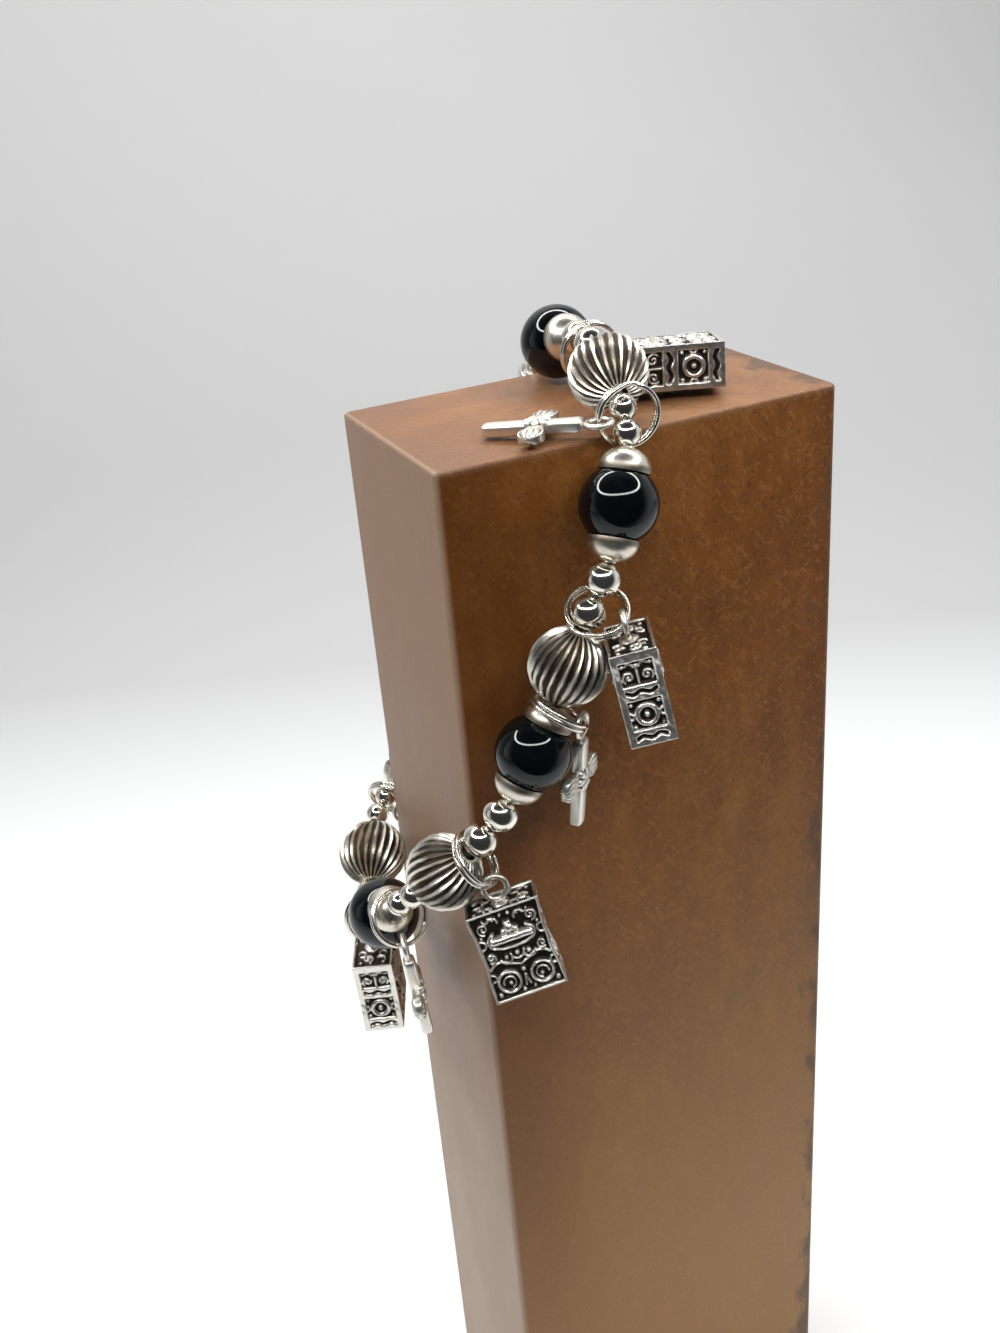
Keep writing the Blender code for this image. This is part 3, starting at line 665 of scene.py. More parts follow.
def bar_grid(along, half_width, half_thick, ribs):
    """A bar of rounded box section: across it runs as a sine and through it as a low power of the cosine, so
    the faces are flat and the edges soft. Ribs, a share of the thickness, run along its length as a cosine of
    the place across. Returns the points and the height of the ribs' crests as shares of the thickness."""
    over = np.linspace(math.pi / 2, -math.pi / 2, 31)
    place = np.concatenate([np.sin(over), np.sin(over[-2:0:-1])])
    depth = np.cos(over)**0.35
    depth = np.concatenate([depth, -depth[-2:0:-1]])
    crest = 1 + ribs[:, None] * np.cos(4 * math.pi * place)[None, :]
    return np.stack([place * half_width[:, None], depth * crest * half_thick[:, None],
                     along[:, None] + 0 * place[None, :]], axis=-1), crest


def cross_charm_shell(matrix, size):
    """The cross: two bars of rounded box section, whose arms flare into ribbed leaves, a low rosette of
    leaves where they meet and the loop. Ends are rounded by a root of one less a high power."""
    shell = Shell()
    top = CHARM_TOP
    half_bar, half_thick = size.cross_bar / 2, size.cross_thickness / 2
    u = np.linspace(0, 1, 56)
    taper = np.sqrt(np.clip(1 - np.abs(2 * u - 1)**26, 0.03, 1))
    width = half_bar * (1 + 0.05 * np.cos(9 * u)) * taper
    upright, _ = bar_grid(top - u[::-1] * size.cross_length, width[::-1], half_thick * taper[::-1], 0 * u)
    shell.add(moved(upright, matrix), mark=0.1, close_first=True, close_last=True)
    v = np.linspace(-1, 1, 90)
    leaf = smooth_step(np.abs(v), 0.28, 0.72)
    ends = np.sqrt(np.clip(1 - np.abs(v)**9, 0.03, 1))
    arms, crest = bar_grid(v * size.cross_span / 2, half_bar * (0.92 + 0.58 * leaf) * ends,
                           half_thick * (0.84 + 0.12 * leaf) * ends, 0.16 * leaf)
    arms = np.stack([arms[..., 2], arms[..., 1], top - size.arm_drop - arms[..., 0]], axis=-1)
    shell.add(moved(arms, matrix), mark=np.clip(0.2 + 4.5 * (1 - crest), 0, 1),
              close_first=True, close_last=True)
    share = np.linspace(1, 0.03, 24)[:, None]
    turn = np.linspace(0, 2 * math.pi, 96, endpoint=False)[None, :]
    petals = np.abs(np.cos(4 * turn))
    reach = size.knot_diameter / 2 * (0.76 + 0.24 * petals) * share
    rise = half_thick + size.knot_rise * np.sqrt(1 - share**2) * (0.6 + 0.4 * petals)
    knot = np.stack([reach * np.cos(turn), rise, top - size.arm_drop - reach * np.sin(turn)], axis=-1)
    rim = knot[:1] * np.array((1, 0, 1))
    hollow = 0.1 + 0.8 * (1 - petals) * smooth_step(share, 0.05, 0.5)
    shell.add(moved(np.concatenate([rim, knot]), matrix), mark=np.vstack([hollow[:1], hollow]),
              close_first=True, close_last=True)
    shell.add(moved(loop_grid(), matrix), mark=LOOP_MARK, round_rows=True)
    return shell


def post_shell(size):
    """The block: a rounded rectangle carried up its height, drawn in slightly at the foot and the top."""
    corner = np.linspace(0, math.pi / 2, 9)
    quarter = [(1, 1, 0), (-1, 1, 1), (-1, -1, 2), (1, -1, 3)]
    x, y = [], []
    for sign_x, sign_y, turns in quarter:
        angle = corner + turns * math.pi / 2
        x.append(sign_x * (POST_WIDTH / 2 - size.post_edge) + size.post_edge * np.cos(angle))
        y.append(sign_y * (POST_DEPTH / 2 - size.post_edge) + size.post_edge * np.sin(angle))
    x, y = np.concatenate(x), np.concatenate(y)
    ease = size.post_top_edge
    bend = np.radians(np.linspace(0, 90, 5))
    heights = np.concatenate([ease * (1 - np.cos(bend)), POST_HEIGHT - ease * (1 - np.cos(bend[::-1]))])
    inset = np.concatenate([ease * (1 - np.sin(bend)), ease * (1 - np.sin(bend[::-1]))])
    points = np.stack([
        x[None, :] - inset[:, None] * np.sign(x)[None, :],
        y[None, :] - inset[:, None] * np.sign(y)[None, :],
        heights[:, None] + 0 * x[None, :],
    ], axis=-1)
    shell = Shell()
    shell.add(points, close_first=True, close_last=True)
    return shell


# Materials

def start_material(name):
    """A new node material with its tree and its shader."""
    material = bpy.data.materials.new(name)
    material.use_nodes = True
    return material, material.node_tree, material.node_tree.nodes["Principled BSDF"]


def add_node(tree, kind, settings=None, inputs=None):
    """Add a node, set its properties and set or link its inputs."""
    node = tree.nodes.new(kind)
    for name, value in (settings or {}).items():
        setattr(node, name, value)
    for name, value in (inputs or {}).items():
        if isinstance(value, bpy.types.NodeSocket):
            tree.links.new(value, node.inputs[name])
        else:
            node.inputs[name].default_value = value
    return node


def object_coordinates(tree, scale=(1, 1, 1), tilt=0.0):
    """Object coordinates, first tilted about Y and X in degrees, then scaled along each axis."""
    coordinates = add_node(tree, "ShaderNodeTexCoord")
    turn = (math.radians(0.6 * tilt), math.radians(tilt), 0.0)
    tilted = add_node(tree, "ShaderNodeMapping", None,
                      {"Vector": coordinates.outputs["Object"], "Rotation": turn})
    scaled = add_node(tree, "ShaderNodeMapping", None, {"Vector": tilted.outputs["Vector"], "Scale": scale})
    return scaled.outputs["Vector"]


def noise(tree, vector, scale, detail=3.0, roughness=0.6):
    """A cloud of values about one half."""
    node = add_node(tree, "ShaderNodeTexNoise", None,
                    {"Vector": vector, "Scale": scale, "Detail": detail, "Roughness": roughness})
    return node.outputs["Fac"]


def ramp(tree, factor, stops):
    """A colour ramp through (position, colour) stops."""
    node = add_node(tree, "ShaderNodeValToRGB", None, {"Fac": factor})
    elements = node.color_ramp.elements
    while len(elements) < len(stops):
        elements.new(0.5)
    for element, (position, colour) in zip(elements, stops):
        element.position = position
        element.color = (*colour, 1.0)
    return node.outputs["Color"]


def grade(tree, factor, low, high):
    """Nought at low, one at high and a smooth ease between, whichever of the two is the larger."""
    node = add_node(tree, "ShaderNodeMapRange", {"interpolation_type": "SMOOTHSTEP"},
                    {"Value": factor, "From Min": low, "From Max": high})
    return node.outputs["Result"]


def spread(tree, factor, source, target):
    """The source range carried straight on to the target range."""
    node = add_node(tree, "ShaderNodeMapRange", None, {
        "Value": factor,
        "From Min": source[0],
        "From Max": source[1],
        "To Min": target[0],
        "To Max": target[1],
    })
    return node.outputs["Result"]


def mix_colour(tree, factor, first, second):
    """The first colour, turned into the second by the factor."""
    node = add_node(tree, "ShaderNodeMix", {"data_type": "RGBA"})
    for index, value in ((0, factor), (6, first), (7, second)):
        if isinstance(value, bpy.types.NodeSocket):
            tree.links.new(value, node.inputs[index])
        else:
            node.inputs[index].default_value = value if index == 0 else (*value, 1.0)
    return node.outputs[2]


def calculate(tree, operation, first, second):
    """One sum on two values."""
    node = add_node(tree, "ShaderNodeMath", {"operation": operation}, {0: first, 1: second})
    return node.outputs["Value"]


def times(tree, first, second):
    """The product of two values."""
    return calculate(tree, "MULTIPLY", first, second)


def plus(tree, first, second):
    """The sum of two values."""
    return calculate(tree, "ADD", first, second)


def bump(tree, height, strength, distance):
    """A normal that follows the height."""
    node = add_node(tree, "ShaderNodeBump", None,
                    {"Height": height, "Strength": strength, "Distance": distance})
    return node.outputs["Normal"]


def mark_value(tree):
    """The mark that each point of a piece carries."""
    return add_node(tree, "ShaderNodeAttribute", {"attribute_name": "mark"}).outputs["Fac"]


def wood_zones(tree, base, slow, grain, mottle, colours):
    """The wood's colour by place on the block: grey smudges at the lower right, a painted reflection of the
    pale floor that grows towards the foot, a darker stretch towards the left edge, painted sheen on the top
    and painted glare on the left side, and a dark ragged strip at the right end, which fades on the end
    itself."""
    position = add_node(tree, "ShaderNodeSeparateXYZ", None, {"Vector": object_coordinates(tree)})
    x, z = position.outputs["X"], position.outputs["Z"]
    left, right, top = -POST_WIDTH / 2, POST_WIDTH / 2, POST_HEIGHT
    smudge = grade(tree, noise(tree, slow, 45.0, 5.0, 0.7), 0.50, 0.66)
    low_right = times(tree, grade(tree, z, top - 0.035, top - 0.070), grade(tree, x, -0.006, 0.008))
    base = mix_colour(tree, times(tree, times(tree, smudge, low_right), 0.55), base, colours.wood_smudge)
    # Painted reflection of the pale floor: the front pales towards its foot.
    floor_reflection = grade(tree, z, top - 0.025, top - 0.130)
    base = mix_colour(tree, times(tree, floor_reflection, 0.62), base, colours.wood_floor_reflection)
    shade = times(tree, grade(tree, x, left + 0.017, left + 0.002), grade(tree, z, -0.010, top - 0.050))
    base = mix_colour(tree, times(tree, shade, 0.60), base, colours.wood_dark)
    # Painted sheen: the top is paled a little towards the glare colour.
    top_face = grade(tree, z, top - 0.0008, top - 0.0002)
    base = mix_colour(tree, times(tree, top_face, 0.18), base, colours.wood_glare)
    # Painted glare: the left side is paled towards the glare colour, more strongly towards the foot.
    side_face = grade(tree, x, left + 0.0007, left + 0.0001)
    pale = plus(tree, times(tree, grade(tree, z, top - 0.055, top - 0.110), 0.28), 0.50)
    base = mix_colour(tree, times(tree, side_face, pale), base, colours.wood_glare)
    uneven = plus(tree, times(tree, mottle, 0.010), times(tree, grain, 0.014))
    ragged = times(tree, grade(tree, plus(tree, x, uneven), right + 0.009, right + 0.012), 0.70)
    end_face = grade(tree, x, right - 0.0006, right - 0.0001)
    faded = calculate(tree, "SUBTRACT", 1.0, times(tree, end_face, 0.75))
    return mix_colour(tree, times(tree, ragged, faded), base, colours.wood_smudge)


def stained_wood(colours):
    """Brown stained wood: mottled, with short slanting fibres that cross, and dark pores."""
    material, tree, shader = start_material("stained wood")
    slow = object_coordinates(tree, (1, 1, 0.55))
    grain = noise(tree, object_coordinates(tree, (1, 1, 0.38)), 300.0, 5.0, 0.65)
    mottle = noise(tree, slow, 55.0, 5.0, 0.62)
    slant = noise(tree, object_coordinates(tree, (1, 1, 0.22), 38), 1700.0)
    counter = noise(tree, object_coordinates(tree, (1, 1, 0.24), -52), 1900.0)
    dots = noise(tree, object_coordinates(tree, (1, 1, 0.6)), 2900.0, 2.0, 0.5)
    fibres = calculate(tree, "MAXIMUM", grade(tree, slant, 0.55, 0.66), grade(tree, counter, 0.57, 0.68))
    pores = grade(tree, dots, 0.61, 0.69)
    base = ramp(tree, plus(tree, times(tree, grain, 0.40), times(tree, mottle, 0.60)), [
        (0.34, colours.wood_dark),
        (0.51, colours.wood_middle),
        (0.70, colours.wood_light),
    ])
    base = mix_colour(tree, times(tree, fibres, 0.48), base, colours.wood_light)
    base = mix_colour(tree, times(tree, pores, 0.55), base, colours.wood_pore)
    base = wood_zones(tree, base, slow, grain, mottle, colours)
    tree.links.new(base, shader.inputs["Base Color"])
    tree.links.new(spread(tree, mottle, (0.3, 0.7), (0.38, 0.55)), shader.inputs["Roughness"])
    shader.inputs["Specular IOR Level"].default_value = 0.33
    height = plus(tree, times(tree, grain, 0.6), times(tree, fibres, 0.3))
    height = calculate(tree, "SUBTRACT", height, times(tree, pores, 0.6))
    tree.links.new(bump(tree, height, 0.30, 0.00020), shader.inputs["Normal"])
    return material


def black_glass(colours):
    """Black glass, faintly uneven, with the softest of scuffs."""
    material, tree, shader = start_material("black glass")
    vector = object_coordinates(tree)
    cloud = noise(tree, vector, 500.0, 2.0, 0.5)
    paler = [2.2 * part for part in colours.glass]
    tree.links.new(ramp(tree, cloud, [(0.35, colours.glass), (0.7, paler)]), shader.inputs["Base Color"])
    scuff = noise(tree, vector, 2600.0, 3.0, 0.55)
    tree.links.new(spread(tree, scuff, (0.4, 0.8), (0.035, 0.10)), shader.inputs["Roughness"])
    shader.inputs["Specular IOR Level"].default_value = 0.40
    return material


def silver(name, bright, dark, rough, reach, scuff_scale, dent=0.0, mottling=0.5):
    """Silver whose marked hollows hold a dark tarnish and whose skin is faintly scuffed and dented. Rough is
    its least and most roughness, and reach the marks between which it turns dark, made uneven by mottling."""
    material, tree, shader = start_material(name)
    vector = object_coordinates(tree)
    scuff = noise(tree, vector, scuff_scale)
    patch = noise(tree, vector, scuff_scale * 0.22)
    uneven = times(tree, calculate(tree, "SUBTRACT", patch, 0.5), mottling)
    hollow = grade(tree, plus(tree, mark_value(tree), uneven), reach[0], reach[1])
    warm = [part * share for part, share in zip(bright, (0.90, 0.87, 0.80))]
    skin = mix_colour(tree, grade(tree, patch, 0.35, 0.7), bright, warm)
    tree.links.new(mix_colour(tree, hollow, skin, dark), shader.inputs["Base Color"])
    dullness = plus(tree, times(tree, scuff, 0.6), times(tree, hollow, 0.5))
    tree.links.new(spread(tree, dullness, (0.15, 0.85), rough), shader.inputs["Roughness"])
    shader.inputs["Metallic"].default_value = 1.0
    if dent:
        tree.links.new(bump(tree, scuff, dent, 0.00005), shader.inputs["Normal"])
    return material


def dark_elastic(colours):
    """Dull dark elastic, a little uneven."""
    material, tree, shader = start_material("dark elastic")
    vector = object_coordinates(tree)
    patch = grade(tree, noise(tree, vector, 660.0), 0.35, 0.7)
    faded = [part * share for part, share in zip(colours.elastic, (0.90, 0.87, 0.80))]
    tree.links.new(mix_colour(tree, patch, colours.elastic, faded), shader.inputs["Base Color"])
    dullness = times(tree, noise(tree, vector, 3000.0), 0.6)
    tree.links.new(spread(tree, dullness, (0.15, 0.85), (0.4, 0.6)), shader.inputs["Roughness"])
    return material


def stage_finish(colours):
    """Plain pale paper that greys with the distance behind the post: painted shade, the light falling off away
    from it.
    """
    material, tree, shader = start_material("pale paper")
    vector = object_coordinates(tree)
    away = add_node(tree, "ShaderNodeVectorMath", {"operation": "DOT_PRODUCT"},
                    {0: vector, 1: unit_vector((-CAMERA_BACK[0], -CAMERA_BACK[1], 0.0))})
    # Painted light falloff: the floor colour round the post, then the backdrop colour, made greyer and then
    # paler again with the distance behind it.
    stops = [(0.155, colours.floor)]
    for distance, strength in ((0.27, 0.86), (0.45, 0.93), (0.90, 1.12)):
        stops.append((distance, [strength * part for part in colours.backdrop]))
    paper_light_falloff = ramp(tree, away.outputs["Value"], stops)
    grain = times(tree, noise(tree, vector, 90.0, 3.0, 0.55), 0.04)
    tree.links.new(mix_colour(tree, grain, paper_light_falloff, colours.paper_grain), shader.inputs["Base Color"])
    shader.inputs["Roughness"].default_value = 0.9
    shader.inputs["Specular IOR Level"].default_value = 0.2
    return material


# Settings that a user would change

class BraceletSizes(bpy.types.PropertyGroup):
    """Sizes of the bracelet's pieces."""
    post_edge: FloatProperty(name="Post edge", description="Rounding of the post's upright edges",
                             default=0.0008, min=0.0005, max=0.003, unit="LENGTH", precision=5)
    post_top_edge: FloatProperty(name="Post top edge", description="Rounding round the post's top and foot",
                                 default=0.00035, min=0.0001, max=0.001, unit="LENGTH", precision=5)
    black_diameter: FloatProperty(name="Black bead", description="Diameter of the black glass beads",
                                  default=BLACK_DIAMETER, min=0.006, max=0.0081, unit="LENGTH", precision=5)
    bead_bore: FloatProperty(name="Bead bore", description="Diameter of the holes through the beads",
                             default=0.0018, min=0.001, max=0.0025, unit="LENGTH", precision=5)
    cap_diameter: FloatProperty(name="Bead cap", description="Diameter of the caps on the black beads",
                                default=0.0052, min=0.004, max=0.0056, unit="LENGTH", precision=5)
    cord_diameter: FloatProperty(name="Cord", description="Diameter of the elastic cord", default=0.0009,
                                 min=0.0004, max=0.001, unit="LENGTH", precision=5)
    large_spacer: FloatProperty(name="Large spacer", description="Width of the large round spacers",
                                default=0.0037, min=0.003, max=0.0038, unit="LENGTH", precision=5)
    small_spacer: FloatProperty(name="Small spacer", description="Width of the small round spacers",
                                default=0.0028, min=0.002, max=0.0030, unit="LENGTH", precision=5)
    flute_count: IntProperty(name="Flutes", description="Number of ridges round a fluted bead", default=24,
                             min=12, max=40)
    flute_depth: FloatProperty(name="Flute depth", description="Depth of the grooves between the ridges",
                               default=0.00046, min=0.0, max=0.0008, unit="LENGTH", precision=5)
    flute_twist: FloatProperty(name="Flute twist", description="Turn of the flutes over one bead radius",
                               default=0.18, min=-0.8, max=0.8, subtype="ANGLE")
    ridge_width: FloatProperty(name="Ridge narrowness", description="Power that narrows the ridges",
                               default=0.6, min=0.3, max=2.0)
    ring_wire: FloatProperty(name="Ring wire", description="Thickness of the split rings' wire",
                             default=RING_WIRE, min=0.0003, max=0.0006, unit="LENGTH", precision=5)
    box_width: FloatProperty(name="Box width", description="Width of a box charm at its top and foot",
                             default=0.0078, min=0.006, max=0.0079, unit="LENGTH", precision=5)
    box_waist: FloatProperty(name="Box waist", description="Width of a box charm where it is drawn in",
                             default=0.0072, min=0.006, max=0.0078, unit="LENGTH", precision=5)
    box_height: FloatProperty(name="Box height", description="Height of a box charm below its loop",
                              default=0.0101, min=0.008, max=0.0102, unit="LENGTH", precision=5)
    box_depth: FloatProperty(name="Box depth", description="Thickness of a box charm",
                             default=0.0047, min=0.003, max=0.0049, unit="LENGTH", precision=5)
    cross_length: FloatProperty(name="Cross length", description="Length of a cross below its loop",
                                default=0.0106, min=0.008, max=0.0107, unit="LENGTH", precision=5)
    cross_span: FloatProperty(name="Cross span", description="Width of a cross over its arms", default=0.0082,
                              min=0.006, max=0.0083, unit="LENGTH", precision=5)
    cross_bar: FloatProperty(name="Cross bar", description="Width of a cross's bars",
                             default=0.0018, min=0.001, max=0.002, unit="LENGTH", precision=5)
    cross_thickness: FloatProperty(name="Cross thickness", description="Thickness of a cross", default=0.0014,
                                   min=0.001, max=0.0015, unit="LENGTH", precision=5)
    arm_drop: FloatProperty(name="Arm drop", description="How far below its top a cross's arms lie",
                            default=0.0047, min=0.003, max=0.006, unit="LENGTH", precision=5)
    knot_diameter: FloatProperty(name="Knot", description="Diameter of the leafy knot on a cross",
                                 default=0.0030, min=0.002, max=0.0032, unit="LENGTH", precision=5)
    knot_rise: FloatProperty(name="Knot rise", description="How far the knot stands up from a cross",
                             default=0.00032, min=0.0001, max=0.0004, unit="LENGTH", precision=5)


def colour_property(name, description, default):
    """A colour that the panel shows as a swatch."""
    return FloatVectorProperty(name=name, description=description, default=default, subtype="COLOR", size=3,
                               min=0.0, max=1.0)


class BraceletColours(bpy.types.PropertyGroup):
    """Colours of the bracelet, its post and the stage."""
    wood_dark: colour_property("Wood, dark", "Colour of the wood's dark streaks", (0.112, 0.032, 0.003))
    wood_middle: colour_property("Wood", "Colour of most of the wood", (0.192, 0.062, 0.007))
    wood_light: colour_property("Wood, light", "Colour of the wood's pale streaks", (0.305, 0.125, 0.026))
    # Painted reflection: the pale floor mirrored low on the front, painted into the wood's colour.
    wood_floor_reflection: colour_property("Painted floor reflection", "Colour the wood pales to near its foot", (0.48, 0.255, 0.085))
    # Painted glare and sheen: the colour that the left side and the top are paled towards.
    wood_glare: colour_property("Wood, side", "Colour the left side's glare pales to", (0.40, 0.29, 0.21))
    wood_pore: colour_property("Wood pores", "Colour of the wood's dark pores", (0.045, 0.018, 0.008))
    wood_smudge: colour_property("Wood smudges", "Colour of the grey smudges", (0.050, 0.036, 0.028))
    glass: colour_property("Glass", "Colour of the black beads", (0.0012, 0.0016, 0.0022))
    bright_silver: colour_property("Polished silver", "Colour of the round spacers", (0.91, 0.89, 0.81))
    cap_silver: colour_property("Satin silver", "Colour of the bead caps", (0.80, 0.76, 0.68))
    fluted_silver: colour_property("Ridge silver", "Colour of the fluted beads' ridges", (0.82, 0.78, 0.71))
    charm_silver: colour_property("Charm silver", "Colour of the charms' raised parts", (0.86, 0.84, 0.79))
    ring_silver: colour_property("Ring silver", "Colour of the split rings' wire", (0.78, 0.75, 0.70))
    tarnish: colour_property("Tarnish", "Colour of the charms' dark hollows", (0.055, 0.045, 0.038))
    flute_tarnish: colour_property("Flute tarnish", "Colour between the ridges", (0.060, 0.043, 0.030))
    cap_tarnish: colour_property("Cap tarnish", "Colour of the caps' dull rims", (0.20, 0.17, 0.13))
    ring_tarnish: colour_property("Ring tarnish", "Colour of the rings' dull places", (0.2, 0.18, 0.15))
    cross_tarnish: colour_property("Cross tarnish", "Colour of the crosses' hollows", (0.12, 0.10, 0.085))
    elastic: colour_property("Elastic", "Colour of the cord", (0.10, 0.10, 0.10))
    # The floor and backdrop colours paint the light's falloff over the paper: pale round the post, greyer
    # behind it.
    floor: colour_property("Floor", "Colour of the floor round the post", (0.83, 0.84, 0.84))
    backdrop: colour_property("Backdrop", "Colour of the paper far behind the post", (0.68, 0.68, 0.675))
    paper_grain: colour_property("Paper grain", "Colour of the paper's faint grain", (0.6, 0.6, 0.6))


# Operators

class BRACELET_OT_post(bpy.types.Operator):
    """Make the stained wooden post"""
    bl_idname = "bracelet.post"
    bl_label = "Display post"

    def execute(self, context):
        size, colours = context.scene.bracelet_sizes, context.scene.bracelet_colours
        mesh = post_shell(size).mesh("post_block", sharp_degrees=50)
        add_piece("post_block", mesh, stained_wood(colours), ["display_post"])
        return {"FINISHED"}


class BRACELET_OT_black_beads(bpy.types.Operator):
    """Make the black glass beads"""
    bl_idname = "bracelet.black_beads"
    bl_label = "Black beads"

    def execute(self, context):
        size, colours = context.scene.bracelet_sizes, context.scene.bracelet_colours
        finish = black_glass(colours)
        for unit, matrix in strung_frames("black"):
            mesh = black_bead_shell(matrix, size).mesh(f"black_glass_{unit}", sharp_degrees=50)
            add_piece(f"black_glass_{unit}", mesh, finish, [f"black_bead_{unit}"])
        return {"FINISHED"}


class BRACELET_OT_fluted_beads(bpy.types.Operator):
    """Make the fluted silver beads"""
    bl_idname = "bracelet.fluted_beads"
    bl_label = "Fluted beads"

    def execute(self, context):
        size, colours = context.scene.bracelet_sizes, context.scene.bracelet_colours
        finish = silver("fluted silver", colours.fluted_silver, colours.flute_tarnish, rough=(0.27, 0.50),
                        reach=(0.34, 0.78), scuff_scale=2400.0, dent=0.05, mottling=1.0)
        for unit, matrix in strung_frames("fluted"):
            mesh = fluted_bead_shell(matrix, size).mesh(f"fluted_silver_{unit}", sharp_degrees=60)
            add_piece(f"fluted_silver_{unit}", mesh, finish, [f"fluted_bead_{unit}"])
        return {"FINISHED"}


class BRACELET_OT_string(bpy.types.Operator):
    """Make the cord, the round spacers and the bead caps"""
    bl_idname = "bracelet.string"
    bl_label = "Cord, spacers and caps"

    def execute(self, context):
        size, colours = context.scene.bracelet_sizes, context.scene.bracelet_colours
        polished = silver("polished silver", colours.bright_silver, colours.tarnish, rough=(0.10, 0.22),
                          reach=(0.8, 1.6), scuff_scale=1800.0, dent=0.04)
        satin = silver("satin silver", colours.cap_silver, colours.cap_tarnish, rough=(0.26, 0.46),
                       reach=(0.35, 1.15), scuff_scale=2200.0, dent=0.06)
        elastic = dark_elastic(colours)
        for name, shell, sharp_degrees, finish in (("round_spacers", spacers_shell(size), 40, polished),
                                                   ("bead_caps", caps_shell(size), 40, satin),
                                                   ("elastic_cord", cord_shell(size), 60, elastic)):
            mesh = shell.mesh(name, sharp_degrees)
            add_piece(name, mesh, finish, ["string_of_spacers"])
        return {"FINISHED"}


class BRACELET_OT_split_rings(bpy.types.Operator):
    """Make the split rings"""
    bl_idname = "bracelet.split_rings"
    bl_label = "Split rings"

    def execute(self, context):
        size, colours = context.scene.bracelet_sizes, context.scene.bracelet_colours
        finish = silver("ring wire", colours.ring_silver, colours.ring_tarnish, rough=(0.16, 0.34),
                        reach=(0.8, 1.6), scuff_scale=2400.0)
        for number, matrix in enumerate(ring_frames(), start=1):
            mesh = split_ring_shell(matrix, size).mesh(f"coil_ring_{number}", sharp_degrees=60)
            add_piece(f"coil_ring_{number}", mesh, finish, [f"split_ring_{number}"])
        return {"FINISHED"}


class BRACELET_OT_box_charms(bpy.types.Operator):
    """Make the box charms"""
    bl_idname = "bracelet.box_charms"
    bl_label = "Box charms"

    def execute(self, context):
        size, colours = context.scene.bracelet_sizes, context.scene.bracelet_colours
        finish = silver("charm silver", colours.charm_silver, colours.tarnish, rough=(0.27, 0.55),
                        reach=(0.28, 0.78), scuff_scale=2600.0, dent=0.04, mottling=1.5)
        for number, matrix in enumerate(charm_frames("box"), start=1):
            shell = box_charm_shell(matrix, size)
            mesh = shell.mesh(f"relief_box_{number}", sharp_degrees=180, merge=True)
            add_piece(f"relief_box_{number}", mesh, finish, [f"prayer_box_{number}"])
        return {"FINISHED"}


class BRACELET_OT_cross_charms(bpy.types.Operator):
    """Make the cross charms"""
    bl_idname = "bracelet.cross_charms"
    bl_label = "Cross charms"

    def execute(self, context):
        size, colours = context.scene.bracelet_sizes, context.scene.bracelet_colours
        finish = silver("cross silver", colours.charm_silver, colours.cross_tarnish, rough=(0.34, 0.52),
                        reach=(0.35, 1.0), scuff_scale=2600.0, dent=0.10, mottling=1.0)
        for number, matrix in enumerate(charm_frames("cross"), start=1):
            mesh = cross_charm_shell(matrix, size).mesh(f"leafy_cross_{number}", sharp_degrees=45)
            add_piece(f"leafy_cross_{number}", mesh, finish, [f"cross_{number}"])
        return {"FINISHED"}


# The camera fitted to the photograph: its place, its three axes and its lens in millimetres
CAMERA_PLACE = (-0.06699, -0.12879, 0.20126)
CAMERA_RIGHT = (0.90200, -0.42428, -0.07994)
CAMERA_UP = (0.25526, 0.37473, 0.89130)
CAMERA_BACK = (-0.34820, -0.82436, 0.44631)
CAMERA_LENS = 37.49


def sweep_shell():
    """The stage: a floor that bends up through a quarter circle into a wall, carried straight across."""
    radius, back, front, wall = 0.35, 0.55, -0.16, 1.1
    bend = np.radians(np.linspace(0, 90, 24))
    y = np.concatenate([np.linspace(front, back, 20), back + radius * np.sin(bend[1:]), [back + radius]])
    z = np.concatenate([np.zeros(20), radius * (1 - np.cos(bend[1:])), [wall]])
    x = np.linspace(-1.3, 1.3, 30)[None, :]
    shell = Shell()
    shell.add(np.stack([x + 0 * y[:, None], y[:, None] + 0 * x, z[:, None] + 0 * x - 0.0002], axis=-1),
              round_columns=False)
    return shell


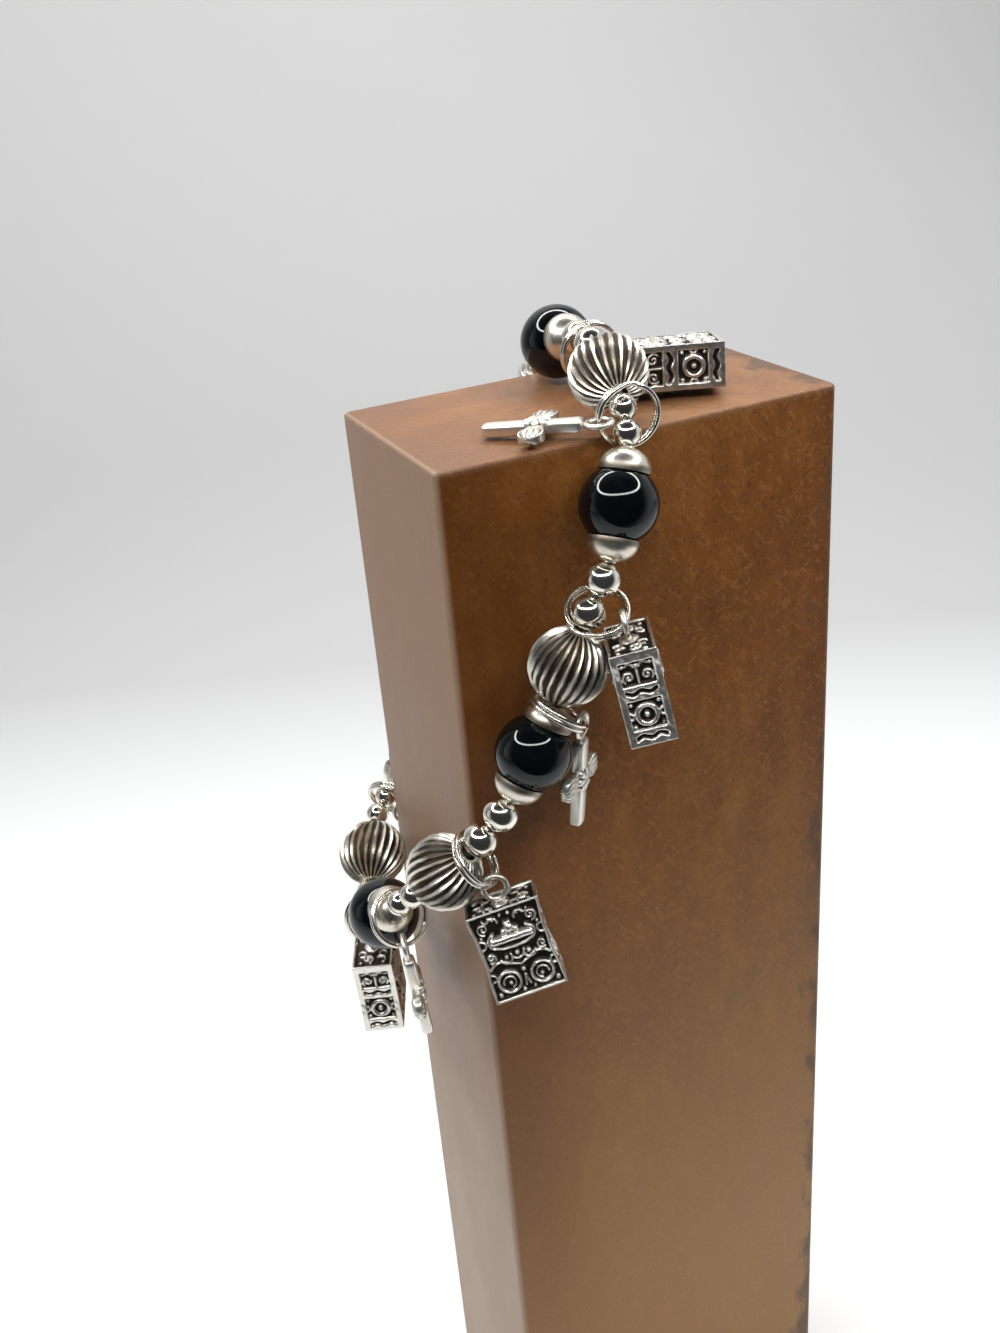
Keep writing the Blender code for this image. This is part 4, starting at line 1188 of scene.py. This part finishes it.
class BRACELET_OT_stage(bpy.types.Operator):
    """Make the floor, the lights and the camera"""
    bl_idname = "bracelet.stage"
    bl_label = "Stage"

    def execute(self, context):
        scene = context.scene
        mesh = sweep_shell().mesh("pale_sweep", sharp_degrees=180)
        mesh.materials.append(stage_finish(scene.bracelet_colours))
        sweep = bpy.data.objects.new("pale_sweep", mesh)
        scene.collection.objects.link(sweep)

        lens = bpy.data.cameras.new("camera")
        lens.lens = CAMERA_LENS
        lens.sensor_width = 36.0
        lens.clip_start = 0.005
        camera = bpy.data.objects.new("camera", lens)
        place = Matrix.Identity(4)
        for column, axis in enumerate((CAMERA_RIGHT, CAMERA_UP, CAMERA_BACK, CAMERA_PLACE)):
            for row in range(3):
                place[row][column] = axis[row]
        camera.matrix_world = place
        scene.collection.objects.link(camera)
        scene.camera = camera

        self.hoop_of_light(scene)
        self.back_light(scene)
        self.surroundings(scene)
        scene.view_settings.view_transform = "Standard"
        return {"FINISHED"}

    def hoop_of_light(self, scene):
        """Strips of light end to end round a level ellipse over the post, which the glass beads mirror."""
        count, reach, breadth, rise, shift, width, power = 28, 0.190, 0.265, 0.250, -0.020, 0.026, 2.3
        beads = np.array((0.0, -0.015, 0.135))
        away = unit_vector((-CAMERA_BACK[0], -CAMERA_BACK[1], 0.0))
        across = np.array((away[1], -away[0], 0.0))
        middle = beads + shift * away + np.array((0, 0, rise))
        step = 2 * math.pi / count
        for number in range(count):
            turn = number * step
            place = middle + reach * math.cos(turn) * away + breadth * math.sin(turn) * across
            along = breadth * math.cos(turn) * across - reach * math.sin(turn) * away
            light = bpy.data.lights.new(f"hoop strip {number + 1}", "AREA")
            light.shape = "RECTANGLE"
            light.size = np.linalg.norm(along) * step * 1.05
            light.size_y = width
            light.energy = power / count
            lamp = bpy.data.objects.new(light.name, light)
            matrix = frame_matrix(place, place - beads, np.cross(place - beads, along))
            lamp.matrix_world = Matrix(matrix.tolist())
            lamp.visible_camera = False
            scene.collection.objects.link(lamp)

    @staticmethod
    def back_light(scene):
        """A broad soft light over the paper behind the post, which the bracelet doesn't mirror."""
        light = bpy.data.lights.new("back light", "AREA")
        light.shape = "RECTANGLE"
        light.size = 1.2
        light.size_y = 0.5
        light.energy = 9.0
        lamp = bpy.data.objects.new("back light", light)
        place = np.array((0.30, 0.24, 0.95))
        lamp.matrix_world = Matrix(frame_matrix(place, (-0.05, -0.75, 0.60), (0.0, 1.0, 0.0)).tolist())
        lamp.visible_camera = False
        lamp.visible_glossy = False
        scene.collection.objects.link(lamp)

    @staticmethod
    def surroundings(scene):
        """A pale room behind and beside the object, dim overhead and dark on the camera's side. What shows
        beyond the paper is pale."""
        pale, overhead = (0.66, 0.68, 0.70), (0.24, 0.25, 0.27)
        dark, beyond = (0.035, 0.035, 0.04), (0.68, 0.68, 0.68)
        world = bpy.data.worlds.new("studio")
        scene.world = world
        world.use_nodes = True
        tree = world.node_tree
        shader = tree.nodes["Background"]
        ray = add_node(tree, "ShaderNodeTexCoord").outputs["Generated"]
        toward = add_node(tree, "ShaderNodeVectorMath", {"operation": "DOT_PRODUCT"},
                          {0: ray, 1: unit_vector(CAMERA_BACK)}).outputs["Value"]
        height = add_node(tree, "ShaderNodeSeparateXYZ", None, {"Vector": ray}).outputs["Z"]
        walls = mix_colour(tree, grade(tree, height, 0.35, 0.75), pale, overhead)
        room = mix_colour(tree, grade(tree, toward, -0.05, 0.45), walls, dark)
        seen = add_node(tree, "ShaderNodeLightPath").outputs["Is Camera Ray"]
        tree.links.new(mix_colour(tree, seen, room, beyond), shader.inputs["Color"])
        shader.inputs["Strength"].default_value = 1.0


STEPS = (
    BRACELET_OT_stage,
    BRACELET_OT_post,
    BRACELET_OT_black_beads,
    BRACELET_OT_fluted_beads,
    BRACELET_OT_string,
    BRACELET_OT_split_rings,
    BRACELET_OT_box_charms,
    BRACELET_OT_cross_charms,
)


class BRACELET_PT_panel(bpy.types.Panel):
    """The bracelet's steps, sizes and colours"""
    bl_idname = "BRACELET_PT_panel"
    bl_label = "Charm bracelet"
    bl_space_type = "VIEW_3D"
    bl_region_type = "UI"
    bl_category = "Bracelet"

    def draw(self, context):
        for step in STEPS:
            self.layout.operator(step.bl_idname, text=step.bl_label)
        scene = context.scene
        for title, group in (("Sizes", scene.bracelet_sizes), ("Colours", scene.bracelet_colours)):
            box = self.layout.box()
            box.label(text=title)
            for name in group.__annotations__:
                box.prop(group, name)


CLASSES = (BraceletSizes, BraceletColours, *STEPS, BRACELET_PT_panel)


def register():
    for each in CLASSES:
        bpy.utils.register_class(each)
    bpy.types.Scene.bracelet_sizes = PointerProperty(type=BraceletSizes)
    bpy.types.Scene.bracelet_colours = PointerProperty(type=BraceletColours)


def unregister():
    del bpy.types.Scene.bracelet_colours
    del bpy.types.Scene.bracelet_sizes
    for each in reversed(CLASSES):
        bpy.utils.unregister_class(each)


def main():
    """Run the steps in order and keep the two boxes."""
    register()
    for step in STEPS:
        group, name = step.bl_idname.split(".")
        getattr(getattr(bpy.ops, group), name)()


if __name__ == "__main__":
    main()
